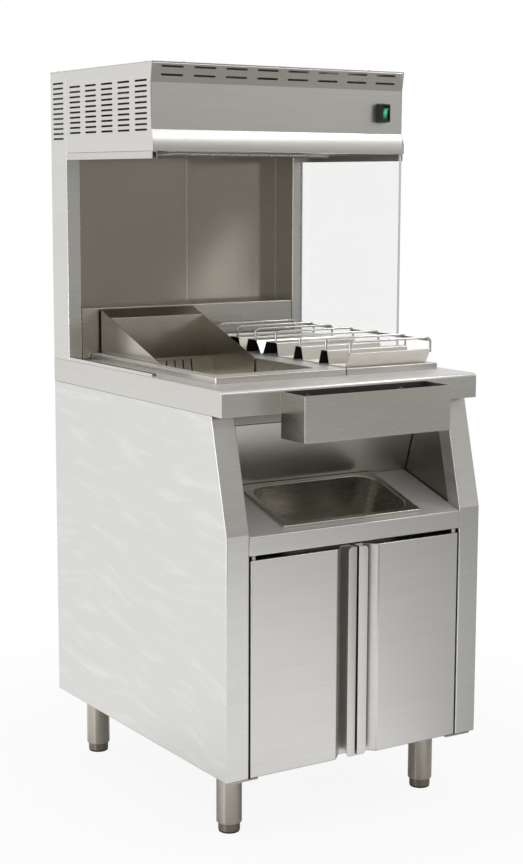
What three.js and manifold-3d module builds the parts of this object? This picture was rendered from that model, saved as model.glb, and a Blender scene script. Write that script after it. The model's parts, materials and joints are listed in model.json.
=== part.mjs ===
// French fry dump station: a heated holding station for fried chips.
// Millimetres, +Z up, front towards -Y. Origin at floor level, under the middle of the overall footprint.

import * as THREE from 'three';
import { mergeVertices } from 'three/addons/utils/BufferGeometryUtils.js';
import Module from 'manifold-3d';

const wasm = await Module();
wasm.setup();

// Sheet, clearances and facets
const sheet = 1.5; // stainless sheet of the casing
const thinSheet = 1.2; // trough, pans and folded inserts
const gap = 0.3; // between pieces that touch
const overrun = 5; // how far a cutter passes what it cuts
const arcSteps = 4; // facets in a quarter bend
const roundSides = 20; // facets round a leg
const smallSides = 12; // facets round a pin, gland or stud

// Whole station. "In" is measured back from the front face of the worktop.
const station = { width: 600, depth: 700, height: 1483 };
const worktop = { height: 877, edge: 49, noseRadius: 8, lip: 18 };
const side = {
  bottom: 135.5, stile: 50, stileOut: 18, kneeDrop: 269, topIn: 36, returnDepth: 36, flange: 32,
};
const shelf = { kneeDrop: 5, slope: 17.3, apron: 36, backIn: 167, flange: 14, sideFlange: 15 };
const cheek = { flange: 15 };
const rail = { drop: 86.4, flange: 11 }; // its foot under the worktop's top
const floorPan = { upturn: 20, frontIn: 18.3 };
const lowerPan = {
  width: 325, length: 176, rim: 10, rimDrop: 5, depth: 100, corner: 45, rimCorner: 5, taper: 6, fillet: 18,
};

const door = { kneeDrop: 50, footRise: 1, sideGap: 4, meetGap: 5, thickness: 32 };
const pull = { recessOuter: 49, recessInner: 26, recessDepth: 23, grip: 20.5, gripRound: 8 };
const liner = { flange: 12 };
const hinge = {
  sideInset: 62, behindFace: 6, pinRadius: 3, collarRadius: 5, pinGrip: 10, plate: 3, plateWidth: 60,
  plateDepth: 46,
};
const latch = { width: 80, height: 18, depth: 24, clearance: 0.4 };

const leg = {
  radius: 25, wall: 2, inset: 65, frontIn: 78, rearIn: 637, plateRadius: 38, plate: 2, bottom: 19,
  chamfer: 1.5,
};
const foot = {
  radius: 21.5, pad: 3, padInset: 0.8, insideTube: 22, stem: 6, stemTop: 115, nutBottom: 60, nutTop: 72,
};
const gland = {
  leftInset: 180, middleIn: 650, radius: 12, shank: 9.5, bore: 5, below: 20, nutRadius: 13, nut: 5, above: 9,
};

const post = { width: 30, depth: 74, slots: 12 };
const vent = { length: 50, height: 4, pitch: 10.4 };
const sideVent = { columns: 5, rows: 10, columnPitch: 71.2, firstIn: 299.5, footRise: 40.5 };
const postVent = { footRise: 29.5 };
const upstand = { front: 627, height: 110, endGap: 2, foot: 20 };

// Heights in the hood are measured up from its foot, or down from the top of the station
const hood = {
  height: 169, noseIn: 252, panelIn: 261, topIn: 255, noseEdge: 21, noseHeight: 41, facetHeight: 39, lip: 12,
};
const hoodVent = { columns: 8, sideInset: 46.25, rows: 2, rowPitch: 16, topDrop: 25 };
const hoodFlange = 12; // inward foot of each hood side

const reflector = { endRoom: 40, mouth: 116, crown: 70, height: 40, flange: 10, middleIn: 440 };
const lamp = { radius: 5, length: 300, capRadius: 6.5, cap: 14, spacing: 46, footRise: 23 };
const holder = { length: 16, depth: 68, below: 11 };
const guard = { rod: 4, longRods: 3, crossRods: 9, overhang: 6, sink: 2.3, sides: 6 };

const glass = { thickness: 6, front: 256 };
const channel = { width: 11, topHeight: 14, bottomHeight: 7, frontIn: 262 };
const rocker = { width: 15, halfHeight: 12.5, tip: 5.5, dip: 3, back: 3, backHalfHeight: 10, tilt: 10 };
const switchBox = {
  rightInset: 54, footRise: 83.5, width: 25, tall: 40, stand: 18, shankWidth: 20, shankTall: 31,
  shankDepth: 24, rockerRoomX: 0.8, rockerRoomZ: 1.5, recessBehind: 5.5, pivotBehind: 7, corner: 3,
};

const dumpPan = {
  leftInset: 72, rightOffset: 4, front: 145, rear: 610, rimLeft: 22, rimRight: 49, rimFront: 43, rimRear: 15,
  rimHeight: 12.6, depth: 125, corner: 10, rimCorner: 4, taper: 1, fillet: 10,
};
const drain = {
  stand: 15, sideGap: 2, columns: 5, rows: 9, slotLength: 30, slotWidth: 4, pitchX: 42, pitchY: 48,
};
const chute = {
  rearIn: 620, bendIn: 577, frontIn: 365, rearRise: 92.6, frontRise: 2.1, curve: 95, sideGap: 1,
  footRun: 60, slots: 9, slotWidth: 3, slotPitch: 20.7, slotDrop: 19.9, slotLength: 35, heel: 6,
};

const rackTray = { gap: 1, rightInset: 19 };
const rack = { leftInset: 7, rightInset: 18, height: 28.5 };
const ridge = { front: 118, lean: 15, wallTop: 10, channel: 58.5, rearChannel: 22, unitGap: 10 };
const slimRidge = { rise: 7, top: 20, fall: 8.5 };
const wideRidge = { rise: 6, top: 40, fall: 13 };
const rearRidge = { rise: 17, top: 33, fall: 9 };
const lastRidge = { rise: 9, top: 34, fall: 16 };
const endWall = { rise: 8, top: 14 };
const wire = {
  diameter: 5, sides: 8, rise: 25.3, bend: 9, ridgeInset: 9, endInset: 3.5, tieInset: 3, tieDrop: 7,
  rightFootDrop: 7,
};

const trough = { width: 340, reach: 80, depth: 88, topDrop: 8, backGap: 0.3 };
const stud = { apart: 220, topDrop: 21, radius: 2.5, head: 5, headThick: 2, clearance: 0.5, drop: 12 };

// Colours
const steel = new THREE.MeshStandardMaterial({ color: 0xb9b7b0, roughness: 0.34, metalness: 0.9 });
const darkSteel = new THREE.MeshStandardMaterial({ color: 0x8f8a80, roughness: 0.38, metalness: 0.9 });
const satinSteel = new THREE.MeshStandardMaterial({ color: 0xa59c8c, roughness: 0.45, metalness: 0.85 });
const wireSteel = new THREE.MeshStandardMaterial({ color: 0xc8c6c0, roughness: 0.2, metalness: 0.95 });
const mirrorSteel = new THREE.MeshStandardMaterial({ color: 0xd8d8d4, roughness: 0.1, metalness: 1 });
const blackPlastic = new THREE.MeshStandardMaterial({ color: 0x15171a, roughness: 0.5, metalness: 0 });
const greenLens = new THREE.MeshStandardMaterial({ color: 0x12a04a, roughness: 0.3, metalness: 0 });
const clearGlass = new THREE.MeshStandardMaterial({ color: 0xe8f0ee, roughness: 0.05, metalness: 0 });
const quartz = new THREE.MeshStandardMaterial({ color: 0xd9c9c0, roughness: 0.15, metalness: 0 });
const ceramic = new THREE.MeshStandardMaterial({ color: 0xe9e6dc, roughness: 0.6, metalness: 0 });

// Places worked out from the sizes
const halfWidth = station.width / 2;
const frontY = -(station.depth + trough.reach) / 2 + trough.reach;
const at = (distanceIn) => frontY + distanceIn;
const stileFront = -side.stileOut;
const slope = THREE.MathUtils.degToRad(shelf.slope);
const kneeHeight = worktop.height - side.kneeDrop; // where the stiles start to lean back
const shelfFront = kneeHeight - shelf.kneeDrop;
const shelfHeight = (distanceIn) => shelfFront + (distanceIn - stileFront) * Math.tan(slope);
const doorTop = kneeHeight - door.kneeDrop;
const doorBottom = side.bottom + door.footRise;
const railBottom = worktop.height - rail.drop;
const underWorktop = worktop.height - sheet;
const stileInner = halfWidth - side.stile;
const postFrontIn = station.depth - post.depth;
const hoodBottom = station.height - hood.height;
const studHeight = worktop.height - stud.topDrop;
const panLeft = -halfWidth + dumpPan.leftInset;
const rimTop = worktop.height + gap + dumpPan.rimHeight;
const drainTop = rimTop - dumpPan.depth + thinSheet + gap + drain.stand;

const hands = [[-1, 'left'], [1, 'right']];

const assembly = new THREE.Group();

// Puts a finished solid into the model under its name
function addPiece(name, solid, material) {
  const raw = solid.getMesh();
  const geometry = new THREE.BufferGeometry();
  const positions = new Float32Array(raw.vertProperties);
  geometry.setAttribute('position', new THREE.BufferAttribute(positions, raw.numProp));
  geometry.setIndex(new THREE.BufferAttribute(new Uint32Array(raw.triVerts), 1));
  const mesh = new THREE.Mesh(geometry, material);
  mesh.name = name;
  assembly.add(mesh);
  return mesh;
}

// Turns a closed three.js geometry into a solid that can be joined and cut
function toSolid(geometry) {
  geometry.deleteAttribute('normal');
  geometry.deleteAttribute('uv');
  const merged = mergeVertices(geometry);
  return new wasm.Manifold(new wasm.Mesh({
    numProp: 3,
    vertProperties: new Float32Array(merged.attributes.position.array),
    triVerts: new Uint32Array(merged.index.array),
  }));
}

const joinAll = (solids) => solids.reduce((whole, piece) => whole.add(piece));

function outlineShape(points, holes = []) {
  const shape = new THREE.Shape(points.map(([u, v]) => new THREE.Vector2(u, v)));
  for (const hole of holes) shape.holes.push(new THREE.Path(hole.map(([u, v]) => new THREE.Vector2(u, v))));
  return shape;
}

const sweep = (points, length, holes) => new THREE.ExtrudeGeometry(outlineShape(points, holes),
  { depth: length, bevelEnabled: false, curveSegments: 1 });

// A (distance in, height) outline swept across the station between two X places
function acrossX(points, x0, x1, holes) {
  const turn = new THREE.Matrix4().set(0, 0, 1, Math.min(x0, x1), 1, 0, 0, frontY, 0, 1, 0, 0, 0, 0, 0, 1);
  return toSolid(sweep(points, Math.abs(x1 - x0), holes).applyMatrix4(turn));
}

// An (x, height) outline swept back between two distances in
function alongY(points, in0, in1, holes) {
  const turn = new THREE.Matrix4().set(1, 0, 0, 0, 0, 0, -1, at(in1), 0, 1, 0, 0, 0, 0, 0, 1);
  return toSolid(sweep(points, in1 - in0, holes).applyMatrix4(turn));
}

// An (x, distance in) outline swept up between two heights
function upZ(points, z0, z1, holes) {
  return toSolid(sweep(points, z1 - z0, holes).translate(0, frontY, z0));
}

// A plain block between two X places, two distances in and two heights
function block(x0, x1, in0, in1, z0, z1) {
  const geometry = new THREE.BoxGeometry(Math.abs(x1 - x0), in1 - in0, z1 - z0);
  return toSolid(geometry.translate((x0 + x1) / 2, at((in0 + in1) / 2), (z0 + z1) / 2));
}

// A slot with coarse round ends, lying along its first direction
function slotOutline(length, height) {
  const end = length / 2;
  const half = height / 2;
  return [
    [-end, 0], [half - end, -half], [end - half, -half],
    [end, 0], [end - half, half], [half - end, half],
  ];
}

function arc(u, v, radius, fromDeg, toDeg, steps = arcSteps) {
  return Array.from({ length: steps + 1 }, (_, i) => {
    const angle = THREE.MathUtils.degToRad(fromDeg + (toDeg - fromDeg) * i / steps);
    return [u + radius * Math.cos(angle), v + radius * Math.sin(angle)];
  });
}

const circle = (u, v, radius, sides = smallSides) => arc(u, v, radius, 0, 360, sides).slice(1);

// A rectangle with round corners, from its centre
function roundedRectangle(u, v, wide, tall, radius, steps = arcSteps) {
  const a = wide / 2 - radius;
  const b = tall / 2 - radius;
  return [...arc(u + a, v + b, radius, 0, 90, steps), ...arc(u - a, v + b, radius, 90, 180, steps),
    ...arc(u - a, v - b, radius, 180, 270, steps), ...arc(u + a, v - b, radius, 270, 360, steps)];
}

// The line beside a path at one distance from it, mitred at its corners; positive lies on its left
function beside(path, distance) {
  const heading = (p, q) => {
    const length = Math.hypot(q[0] - p[0], q[1] - p[1]);
    return [(q[0] - p[0]) / length, (q[1] - p[1]) / length];
  };
  return path.map((point, i) => {
    const ahead = i < path.length - 1 ? heading(point, path[i + 1]) : heading(path[i - 1], point);
    const behind = i > 0 ? heading(path[i - 1], point) : ahead;
    const mitre = distance / (1 + ahead[0] * behind[0] + ahead[1] * behind[1]);
    return [point[0] - (ahead[1] + behind[1]) * mitre, point[1] + (ahead[0] + behind[0]) * mitre];
  });
}

// The outline of a sheet folded along a path, its thickness beside the path
const folded = (path, thickness) => [...path, ...beside(path, thickness).reverse()];

// A solid through a stack of equal-count convex outlines, each { points, z }
function loft(sections) {
  const count = sections[0].points.length;
  const positions = [];
  const index = [];
  for (const { points, z } of sections) for (const [u, v] of points) positions.push(u, v + frontY, z);
  for (let ring = 0; ring < sections.length - 1; ring++) {
    for (let i = 0; i < count; i++) {
      const a = ring * count + i;
      const b = ring * count + (i + 1) % count;
      index.push(a, b, b + count, a, b + count, a + count);
    }
  }
  const last = (sections.length - 1) * count;
  for (let i = 1; i < count - 1; i++) {
    index.push(0, i + 1, i);
    index.push(last, last + i, last + i + 1);
  }
  const geometry = new THREE.BufferGeometry();
  geometry.setAttribute('position', new THREE.BufferAttribute(new Float32Array(positions), 3));
  geometry.setIndex(index);
  return toSolid(geometry);
}

// The body of a pan: tapered walls and a rounded foot, from its mouth down
function bowl({ u, v, wide, long, corner, top, depth: deep, taper, fillet }) {
  const ring = (inset, z) => ({
    points: roundedRectangle(u, v, wide - inset * 2, long - inset * 2, Math.max(corner - inset, corner / 2)),
    z,
  });
  const floor = top - deep;
  const foot = Array.from({ length: arcSteps }, (_, i) => {
    const angle = i / (arcSteps - 1) * Math.PI / 2;
    return ring(taper + fillet * (1 - Math.sin(angle)), floor + fillet * (1 - Math.cos(angle)));
  });
  return loft([...foot, ring(0, top)]);
}

// A turned piece from a closed (radius, height) profile
function turned(profile, x, distanceIn, sides = roundSides) {
  const points = [...profile, profile[0]].map(([r, z]) => new THREE.Vector2(r, z));
  const geometry = new THREE.LatheGeometry(points, sides).rotateX(Math.PI / 2);
  return toSolid(geometry.translate(x, at(distanceIn), 0));
}

// A round bar along Z between two heights
const bar = (x, distanceIn, radius, z0, z1) => upZ(circle(x, distanceIn, radius), z0, z1);

const centreDistances = (count, pitch) => Array.from(
  { length: count }, (_, i) => (i - (count - 1) / 2) * pitch);

const backIn = station.depth - sheet - gap - sheet;

// Cabinet side: skin, front stile with its return, and flanges at the rear, foot and top
function sidePanel(hand) {
  const top = worktop.height - worktop.edge - gap;
  const frontEdge = [[stileFront, side.bottom], [stileFront, kneeHeight], [side.topIn, top]];
  const around = [...frontEdge, [station.depth, top], [station.depth, side.bottom]];
  const hollow = beside([...around, around[0], around[1]], -sheet).slice(1, -1);
  const behindReturn = [
    [stileFront + side.returnDepth, side.bottom - overrun],
    [stileFront + side.returnDepth, kneeHeight],
    [side.topIn + side.returnDepth, top],
    [side.topIn + side.returnDepth, top + overrun],
    [station.depth + overrun, top + overrun],
    [station.depth + overrun, side.bottom - overrun],
  ];
  return acrossX(around, hand * stileInner, hand * halfWidth)
    .subtract(acrossX(hollow, hand * (stileInner + sheet), hand * (halfWidth - sheet)))
    .subtract(acrossX(behindReturn, hand * (stileInner - overrun), hand * (halfWidth - side.flange)))
    .subtract(block(hand * (stileInner + sheet), hand * (halfWidth - side.flange), side.topIn + sheet * 1.5,
      side.topIn + side.returnDepth + overrun, top - overrun, top + overrun));
}
for (const [hand, word] of hands) addPiece(`side_panel_${word}`, sidePanel(hand), steel);

// Cabinet floor and back
const insideHalf = halfWidth - sheet - gap;
const floorBottom = side.bottom + sheet + gap;
const floorRear = backIn - gap;

const floorTop = floorBottom + floorPan.upturn;
const glandX = -halfWidth + gland.leftInset;
const glandHole = bar(glandX, gland.middleIn, gland.shank + gap, side.bottom, floorTop);
const floorTray = block(-insideHalf, insideHalf, floorPan.frontIn, floorRear, floorBottom, floorTop)
  .subtract(block(-insideHalf + sheet, insideHalf - sheet, floorPan.frontIn - overrun, floorRear - sheet,
    floorBottom + sheet, floorTop + overrun));
addPiece('cabinet_floor', floorTray.subtract(glandHole), steel);
addPiece('cabinet_back', block(-insideHalf, insideHalf, backIn, backIn + sheet, floorBottom,
  worktop.height - worktop.edge - gap * 2 - sheet), steel);

// Cable gland in the floor, open for a lead
const glandTop = floorBottom + sheet;
addPiece('cable_gland', turned([
  [gland.bore, floorBottom - gland.below],
  [gland.radius - gland.bore / 2, floorBottom - gland.below],
  [gland.radius, floorBottom - gland.below + gland.bore],
  [gland.radius, floorBottom - gap],
  [gland.shank, floorBottom - gap],
  [gland.shank, glandTop + gap],
  [gland.nutRadius, glandTop + gap],
  [gland.nutRadius, glandTop + gap + gland.nut],
  [gland.shank, glandTop + gap + gland.nut],
  [gland.shank, glandTop + gland.above],
  [gland.bore, glandTop + gland.above],
], glandX, gland.middleIn, smallSides), blackPlastic);

// Sloping shelf with its apron and the cut-out for the lower pan
const along = (point, distance, angle) => [
  point[0] + distance * Math.cos(angle),
  point[1] + distance * Math.sin(angle),
];
const apronFoot = shelfFront - shelf.apron;
const shelfBack = [shelf.backIn, shelfHeight(shelf.backIn)];
const shelfHalf = stileInner - gap;

function tilted(solidPoints, in0, z0, z1) {
  const geometry = sweep(solidPoints, z1 - z0);
  geometry.translate(0, 0, z0);
  geometry.rotateX(slope);
  return toSolid(geometry.translate(0, at(in0), shelfHeight(in0)));
}

const panCentreIn = shelf.backIn - (gap * 4 + lowerPan.length / 2) * Math.cos(slope);
const underRim = { wide: lowerPan.width - lowerPan.rim * 2, long: lowerPan.length - lowerPan.rim * 2 };
const shelfCut = tilted(roundedRectangle(0, 0, underRim.wide, underRim.long, lowerPan.corner), panCentreIn,
  -overrun, overrun);
const shelfEnd = along(shelfBack, shelf.flange, slope);
function nicheShelf() {
  const lipEnd = stileFront + side.returnDepth;
  const surface = [[lipEnd, apronFoot], [stileFront, apronFoot], [stileFront, shelfFront], shelfEnd];
  const outline = [...surface, [shelfEnd[0], shelfEnd[1] - shelf.sideFlange]];
  const past = [[lipEnd + overrun, apronFoot], ...surface.slice(1, -1), along(shelfEnd, overrun, slope)];
  const under = [...beside(past, -sheet), [shelfEnd[0] + overrun, apronFoot + sheet]];
  return acrossX(outline, -shelfHalf, shelfHalf)
    .subtract(acrossX(under, -shelfHalf + sheet, shelfHalf - sheet)).subtract(shelfCut);
}
addPiece('niche_shelf', nicheShelf(), steel);

// Leaning back wall of the niche, square to the shelf
const nicheFoot = [shelf.backIn, shelfHeight(shelf.backIn) + gap * 2];
const nicheTop = along(nicheFoot, (railBottom - gap - nicheFoot[1]) / Math.cos(slope), slope + Math.PI / 2);
addPiece('niche_back', acrossX(folded([
  along(nicheFoot, shelf.flange, slope),
  nicheFoot,
  nicheTop,
  [nicheTop[0] + rail.flange, nicheTop[1]],
], -sheet), -shelfHalf, shelfHalf), darkSteel);

// Niche cheeks, lapped behind the stile returns and hung from the worktop
function nicheCheek(hand) {
  const near = hand * (stileInner + sheet + gap);
  const far = near + hand * sheet;
  const top = underWorktop - gap;
  const slant = (side.topIn - stileFront) / (worktop.height - worktop.edge - kneeHeight);
  const edgeIn = (z) => stileFront + sheet * 2 + gap + Math.max(0, z - kneeHeight) * slant;
  const wall = [[edgeIn(0), apronFoot], [edgeIn(0), kneeHeight], [edgeIn(top), top],
    [shelf.backIn + shelf.flange, top], [shelf.backIn + shelf.flange, apronFoot]];
  return acrossX(wall, near, far).add(block(near, near + hand * cheek.flange, edgeIn(top),
    shelf.backIn + shelf.flange, top - sheet, top));
}
for (const [hand, word] of hands) addPiece(`niche_cheek_${word}`, nicheCheek(hand), darkSteel);

addPiece('cross_rail', acrossX(folded([
  [nicheTop[0] + rail.flange, underWorktop - gap],
  [nicheTop[0], underWorktop - gap],
  [nicheTop[0], railBottom],
  [nicheTop[0] + rail.flange, railBottom],
], sheet), -shelfHalf, shelfHalf), darkSteel);

// Lower pan, lying square on the sloping shelf
const lowerSeat = gap + lowerPan.rimDrop;
function lowerPanSolid() {
  const mouth = {
    u: 0,
    v: 0,
    wide: underRim.wide - gap * 4,
    long: underRim.long - gap * 4,
    corner: lowerPan.corner,
    top: lowerSeat - thinSheet,
    depth: lowerPan.depth,
    taper: lowerPan.taper,
    fillet: lowerPan.fillet,
  };
  const inner = {
    ...mouth,
    wide: mouth.wide - thinSheet * 2,
    long: mouth.long - thinSheet * 2,
    corner: mouth.corner - thinSheet,
    top: lowerSeat + overrun,
    depth: lowerPan.depth + overrun,
  };
  const rimRing = (inset) => roundedRectangle(
    0, 0, lowerPan.width - inset * 2, lowerPan.length - inset * 2, lowerPan.rimCorner - inset);
  const rimBlock = loft([gap, lowerSeat].map((z) => ({ points: rimRing(0), z })));
  const rimHollow = loft([gap - overrun, lowerSeat - thinSheet].map(
    (z) => ({ points: rimRing(thinSheet), z })));
  return rimBlock.subtract(rimHollow).add(bowl(mouth)).subtract(bowl(inner));
}
const lowerPanMesh = addPiece('lower_pan', lowerPanSolid(), steel);
lowerPanMesh.geometry.translate(0, -frontY, 0);
lowerPanMesh.rotation.x = slope;
lowerPanMesh.position.set(0, at(panCentreIn), shelfHeight(panCentreIn));

// Doors: a folded shell with a J pull at the meeting edge, and a liner behind it
const doorFaceIn = stileFront;
const doorRearIn = doorFaceIn + door.thickness;
const doorOuter = stileInner - door.sideGap;
const doorMeet = door.meetGap / 2;
const recessIn = doorFaceIn + pull.recessDepth;
const pinX = halfWidth - hinge.sideInset;
const pinIn = doorFaceIn + hinge.behindFace;
const mirrored = (points, hand) => points.map(([x, v]) => [hand * x, v]);

function doorShell(hand) {
  const rear = doorRearIn - sheet - gap;
  const recessWall = [[pull.recessOuter, doorFaceIn], [pull.recessInner, recessIn]];
  const front = [[doorOuter, doorFaceIn], ...recessWall];
  const outline = [
    [doorOuter, rear],
    ...front,
    [doorMeet + sheet, recessIn],
    [doorMeet + sheet, doorFaceIn + sheet],
    [doorMeet + pull.grip, doorFaceIn + sheet],
    [doorMeet + pull.grip, doorFaceIn],
    [doorMeet, doorFaceIn],
    [doorMeet, rear],
  ];
  const inside = [[doorOuter, rear + overrun], ...front, [doorMeet, recessIn], [doorMeet, rear + overrun]];
  const hingeHole = bar(hand * pinX, pinIn, hinge.pinRadius + gap, doorBottom - overrun, doorTop + overrun);
  return upZ(mirrored(outline, hand), doorBottom, doorTop)
    .subtract(upZ(mirrored(beside(inside, -sheet), hand), doorBottom + sheet, doorTop - sheet))
    .subtract(hingeHole)
    .subtract(gripCorner(hand, doorTop, -1))
    .subtract(gripCorner(hand, doorBottom, 1));
}

// Cutter that rounds the outer corner of the pull's front flange
function gripCorner(hand, edge, inward) {
  const radius = pull.gripRound;
  const x = doorMeet + pull.grip;
  const turn = arc(x - radius, edge + inward * radius, radius, 0, -inward * 90);
  const corner = [[x + overrun, edge + inward * radius], ...turn, [x - radius, edge - inward * overrun],
    [x + overrun, edge - inward * overrun]];
  return alongY(mirrored(corner, hand), doorFaceIn - overrun, doorFaceIn + sheet + overrun);
}

function doorLiner(hand) {
  const plateIn = doorRearIn;
  const outer = doorOuter - sheet - gap;
  const lining = folded([
    [outer, plateIn - liner.flange],
    [outer, plateIn],
    [doorMeet, plateIn],
  ], sheet);
  return upZ(mirrored(lining, hand), doorBottom + sheet + gap, doorTop - sheet - gap);
}

for (const [hand, word] of hands) {
  addPiece(`door_${word}`, doorShell(hand), steel);
  addPiece(`door_liner_${word}`, doorLiner(hand), darkSteel);
  addPiece(`hinge_pin_${word}`, turned([
    [0, doorTop - hinge.pinGrip],
    [hinge.pinRadius, doorTop - hinge.pinGrip],
    [hinge.pinRadius, doorTop + gap],
    [hinge.collarRadius, doorTop + gap],
    [hinge.collarRadius, apronFoot - gap],
    [0, apronFoot - gap],
  ], hand * pinX, pinIn, smallSides), satinSteel);
  const plateTop = side.bottom - gap;
  const plateInner = pinX - hinge.pinGrip;
  addPiece(`hinge_bracket_${word}`, block(hand * plateInner, hand * (plateInner + hinge.plateWidth),
    stileFront + sheet, stileFront + sheet + hinge.plateDepth, plateTop - hinge.plate, plateTop)
    .add(bar(hand * pinX, pinIn, hinge.pinRadius, plateTop - hinge.plate, doorBottom + hinge.pinGrip)),
  satinSteel);
}

// Magnetic catch for both doors, on the front edge of the floor
const latchBottom = floorBottom + sheet + gap;
addPiece('door_catch', block(-latch.width / 2, latch.width / 2, doorRearIn + latch.clearance,
  doorRearIn + latch.clearance + latch.depth, latchBottom, latchBottom + latch.height), blackPlastic);

// Legs and their screw feet
function legTube(x, distanceIn) {
  const top = side.bottom - gap;
  const bore = leg.radius - leg.wall;
  return turned([
    [bore, leg.bottom],
    [leg.radius - leg.chamfer, leg.bottom],
    [leg.radius, leg.bottom + leg.chamfer],
    [leg.radius, top - leg.plate],
    [leg.plateRadius, top - leg.plate],
    [leg.plateRadius, top],
    [bore, top],
    [bore, foot.nutTop],
    [foot.stem + gap, foot.nutTop],
    [foot.stem + gap, foot.nutBottom],
    [bore, foot.nutBottom],
  ], x, distanceIn);
}
function legFoot(x, distanceIn) {
  return turned([
    [0, 0],
    [foot.radius - foot.padInset, 0],
    [foot.radius - foot.padInset, foot.pad],
    [foot.radius, foot.pad],
    [foot.radius, leg.bottom + foot.insideTube],
    [foot.stem, leg.bottom + foot.insideTube],
    [foot.stem, foot.stemTop],
    [0, foot.stemTop],
  ], x, distanceIn);
}
for (const [row, distanceIn] of [['front', leg.frontIn], ['rear', leg.rearIn]]) {
  for (const [hand, word] of hands) {
    const x = hand * (halfWidth - leg.inset);
    addPiece(`leg_${row}_${word}`, legTube(x, distanceIn), satinSteel);
    addPiece(`foot_${row}_${word}`, legFoot(x, distanceIn), satinSteel);
  }
}

// Worktop: a folded tray, open below, with a cut-out for the dump pan and studs for the trough
const topEdgeFoot = worktop.height - worktop.edge;
function worktopSolid() {
  const nose = (inset) => [
    [inset, topEdgeFoot],
    ...arc(worktop.noseRadius, worktop.height - worktop.noseRadius, worktop.noseRadius - inset, 180, 90),
  ];
  const skin = [...nose(0), [station.depth, worktop.height], [station.depth, topEdgeFoot]];
  const behind = station.depth - sheet;
  const hollow = [[sheet, topEdgeFoot - overrun], ...nose(sheet).slice(1), [behind, underWorktop],
    [behind, topEdgeFoot - overrun]];
  const room = thinSheet + gap + drain.sideGap;
  const cut = block(panLeft - room, dumpPan.rightOffset + room, dumpPan.front - room, dumpPan.rear + room,
    underWorktop - overrun, worktop.height + overrun);
  const studs = [-1, 1].map((hand) => troughStud(hand * stud.apart / 2));
  return joinAll([
    acrossX(skin, -halfWidth, halfWidth).subtract(acrossX(hollow, -halfWidth + sheet, halfWidth - sheet)),
    block(-halfWidth + sheet / 2, halfWidth - sheet / 2, sheet / 2, worktop.lip, topEdgeFoot,
      topEdgeFoot + sheet),
    ...studs,
  ]).subtract(cut);
}
function troughStud(x) {
  const neck = -(trough.backGap + thinSheet + gap);
  return alongY(circle(x, studHeight, stud.radius), neck - sheet, sheet)
    .add(alongY(circle(x, studHeight, stud.head), neck - stud.headThick, neck));
}
addPiece('worktop', worktopSolid(), steel);

// Upstand, posts and rear panel
const onWorktop = worktop.height + gap;
const upstandHalf = halfWidth - post.width - upstand.endGap;
addPiece('upstand', acrossX(folded([
  [upstand.front + upstand.foot, onWorktop + sheet],
  [upstand.front, onWorktop + sheet],
  [upstand.front, worktop.height + upstand.height],
  [station.depth - sheet - gap, worktop.height + upstand.height],
], -sheet), -upstandHalf, upstandHalf), steel);

const ventSlot = (u, v) => slotOutline(vent.length, vent.height).map(([a, b]) => [u + a, v + b]);
const hoodTopFoot = station.height - sheet - gap;

function postSolid(hand) {
  const outer = hand * halfWidth;
  const inner = hand * (halfWidth - post.width);
  const tube = block(outer, inner, postFrontIn, station.depth, onWorktop, hoodTopFoot)
    .subtract(block(outer - hand * sheet, inner + hand * sheet, postFrontIn + sheet, station.depth - sheet,
      onWorktop - overrun, hoodTopFoot + overrun));
  const slots = Array.from({ length: post.slots }, (_, row) => acrossX(
    ventSlot(station.depth - post.depth / 2, hoodBottom + postVent.footRise + row * vent.pitch),
    outer - hand * (sheet + overrun), outer + hand * overrun));
  return tube.subtract(joinAll(slots));
}
for (const [hand, word] of hands) addPiece(`post_${word}`, postSolid(hand), steel);

const betweenPosts = halfWidth - post.width - gap;
addPiece('rear_panel', block(-betweenPosts, betweenPosts, station.depth - sheet, station.depth, onWorktop,
  hoodTopFoot), darkSteel);

// Hood: front with its nose and vent facet, two vented sides and the top cover
const hoodHalf = halfWidth - sheet - gap;
const hoodFrontPath = [
  [hood.topIn + hood.lip, hoodTopFoot],
  [hood.topIn, hoodTopFoot],
  [hood.panelIn, station.height - hood.facetHeight],
  [hood.panelIn, hoodBottom + hood.noseHeight],
  [hood.noseIn, hoodBottom + hood.noseEdge],
  [hood.noseIn, hoodBottom],
  [hood.noseIn + hood.lip, hoodBottom],
];
const switchX = halfWidth - switchBox.rightInset;
const switchHeight = hoodBottom + switchBox.footRise;
function hoodFront() {
  const skin = acrossX(folded(hoodFrontPath, sheet), -hoodHalf, hoodHalf);
  const pitch = (station.width - hoodVent.sideInset * 2) / (hoodVent.columns - 1);
  const lowest = station.height - hoodVent.topDrop;
  const slots = centreDistances(hoodVent.columns, pitch).flatMap((x) => Array.from(
    { length: hoodVent.rows }, (_, row) => alongY(
      ventSlot(x, lowest + row * hoodVent.rowPitch), hood.topIn - overrun, hood.topIn + hood.lip)));
  const cutWide = switchBox.shankWidth / 2 + gap;
  const cutTall = switchBox.shankTall / 2 + gap;
  const switchCut = block(switchX - cutWide, switchX + cutWide, hood.panelIn - overrun,
    hood.panelIn + sheet + overrun, switchHeight - cutTall, switchHeight + cutTall);
  return skin.subtract(joinAll(slots)).subtract(switchCut);
}
addPiece('hood_front', hoodFront(), steel);

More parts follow.
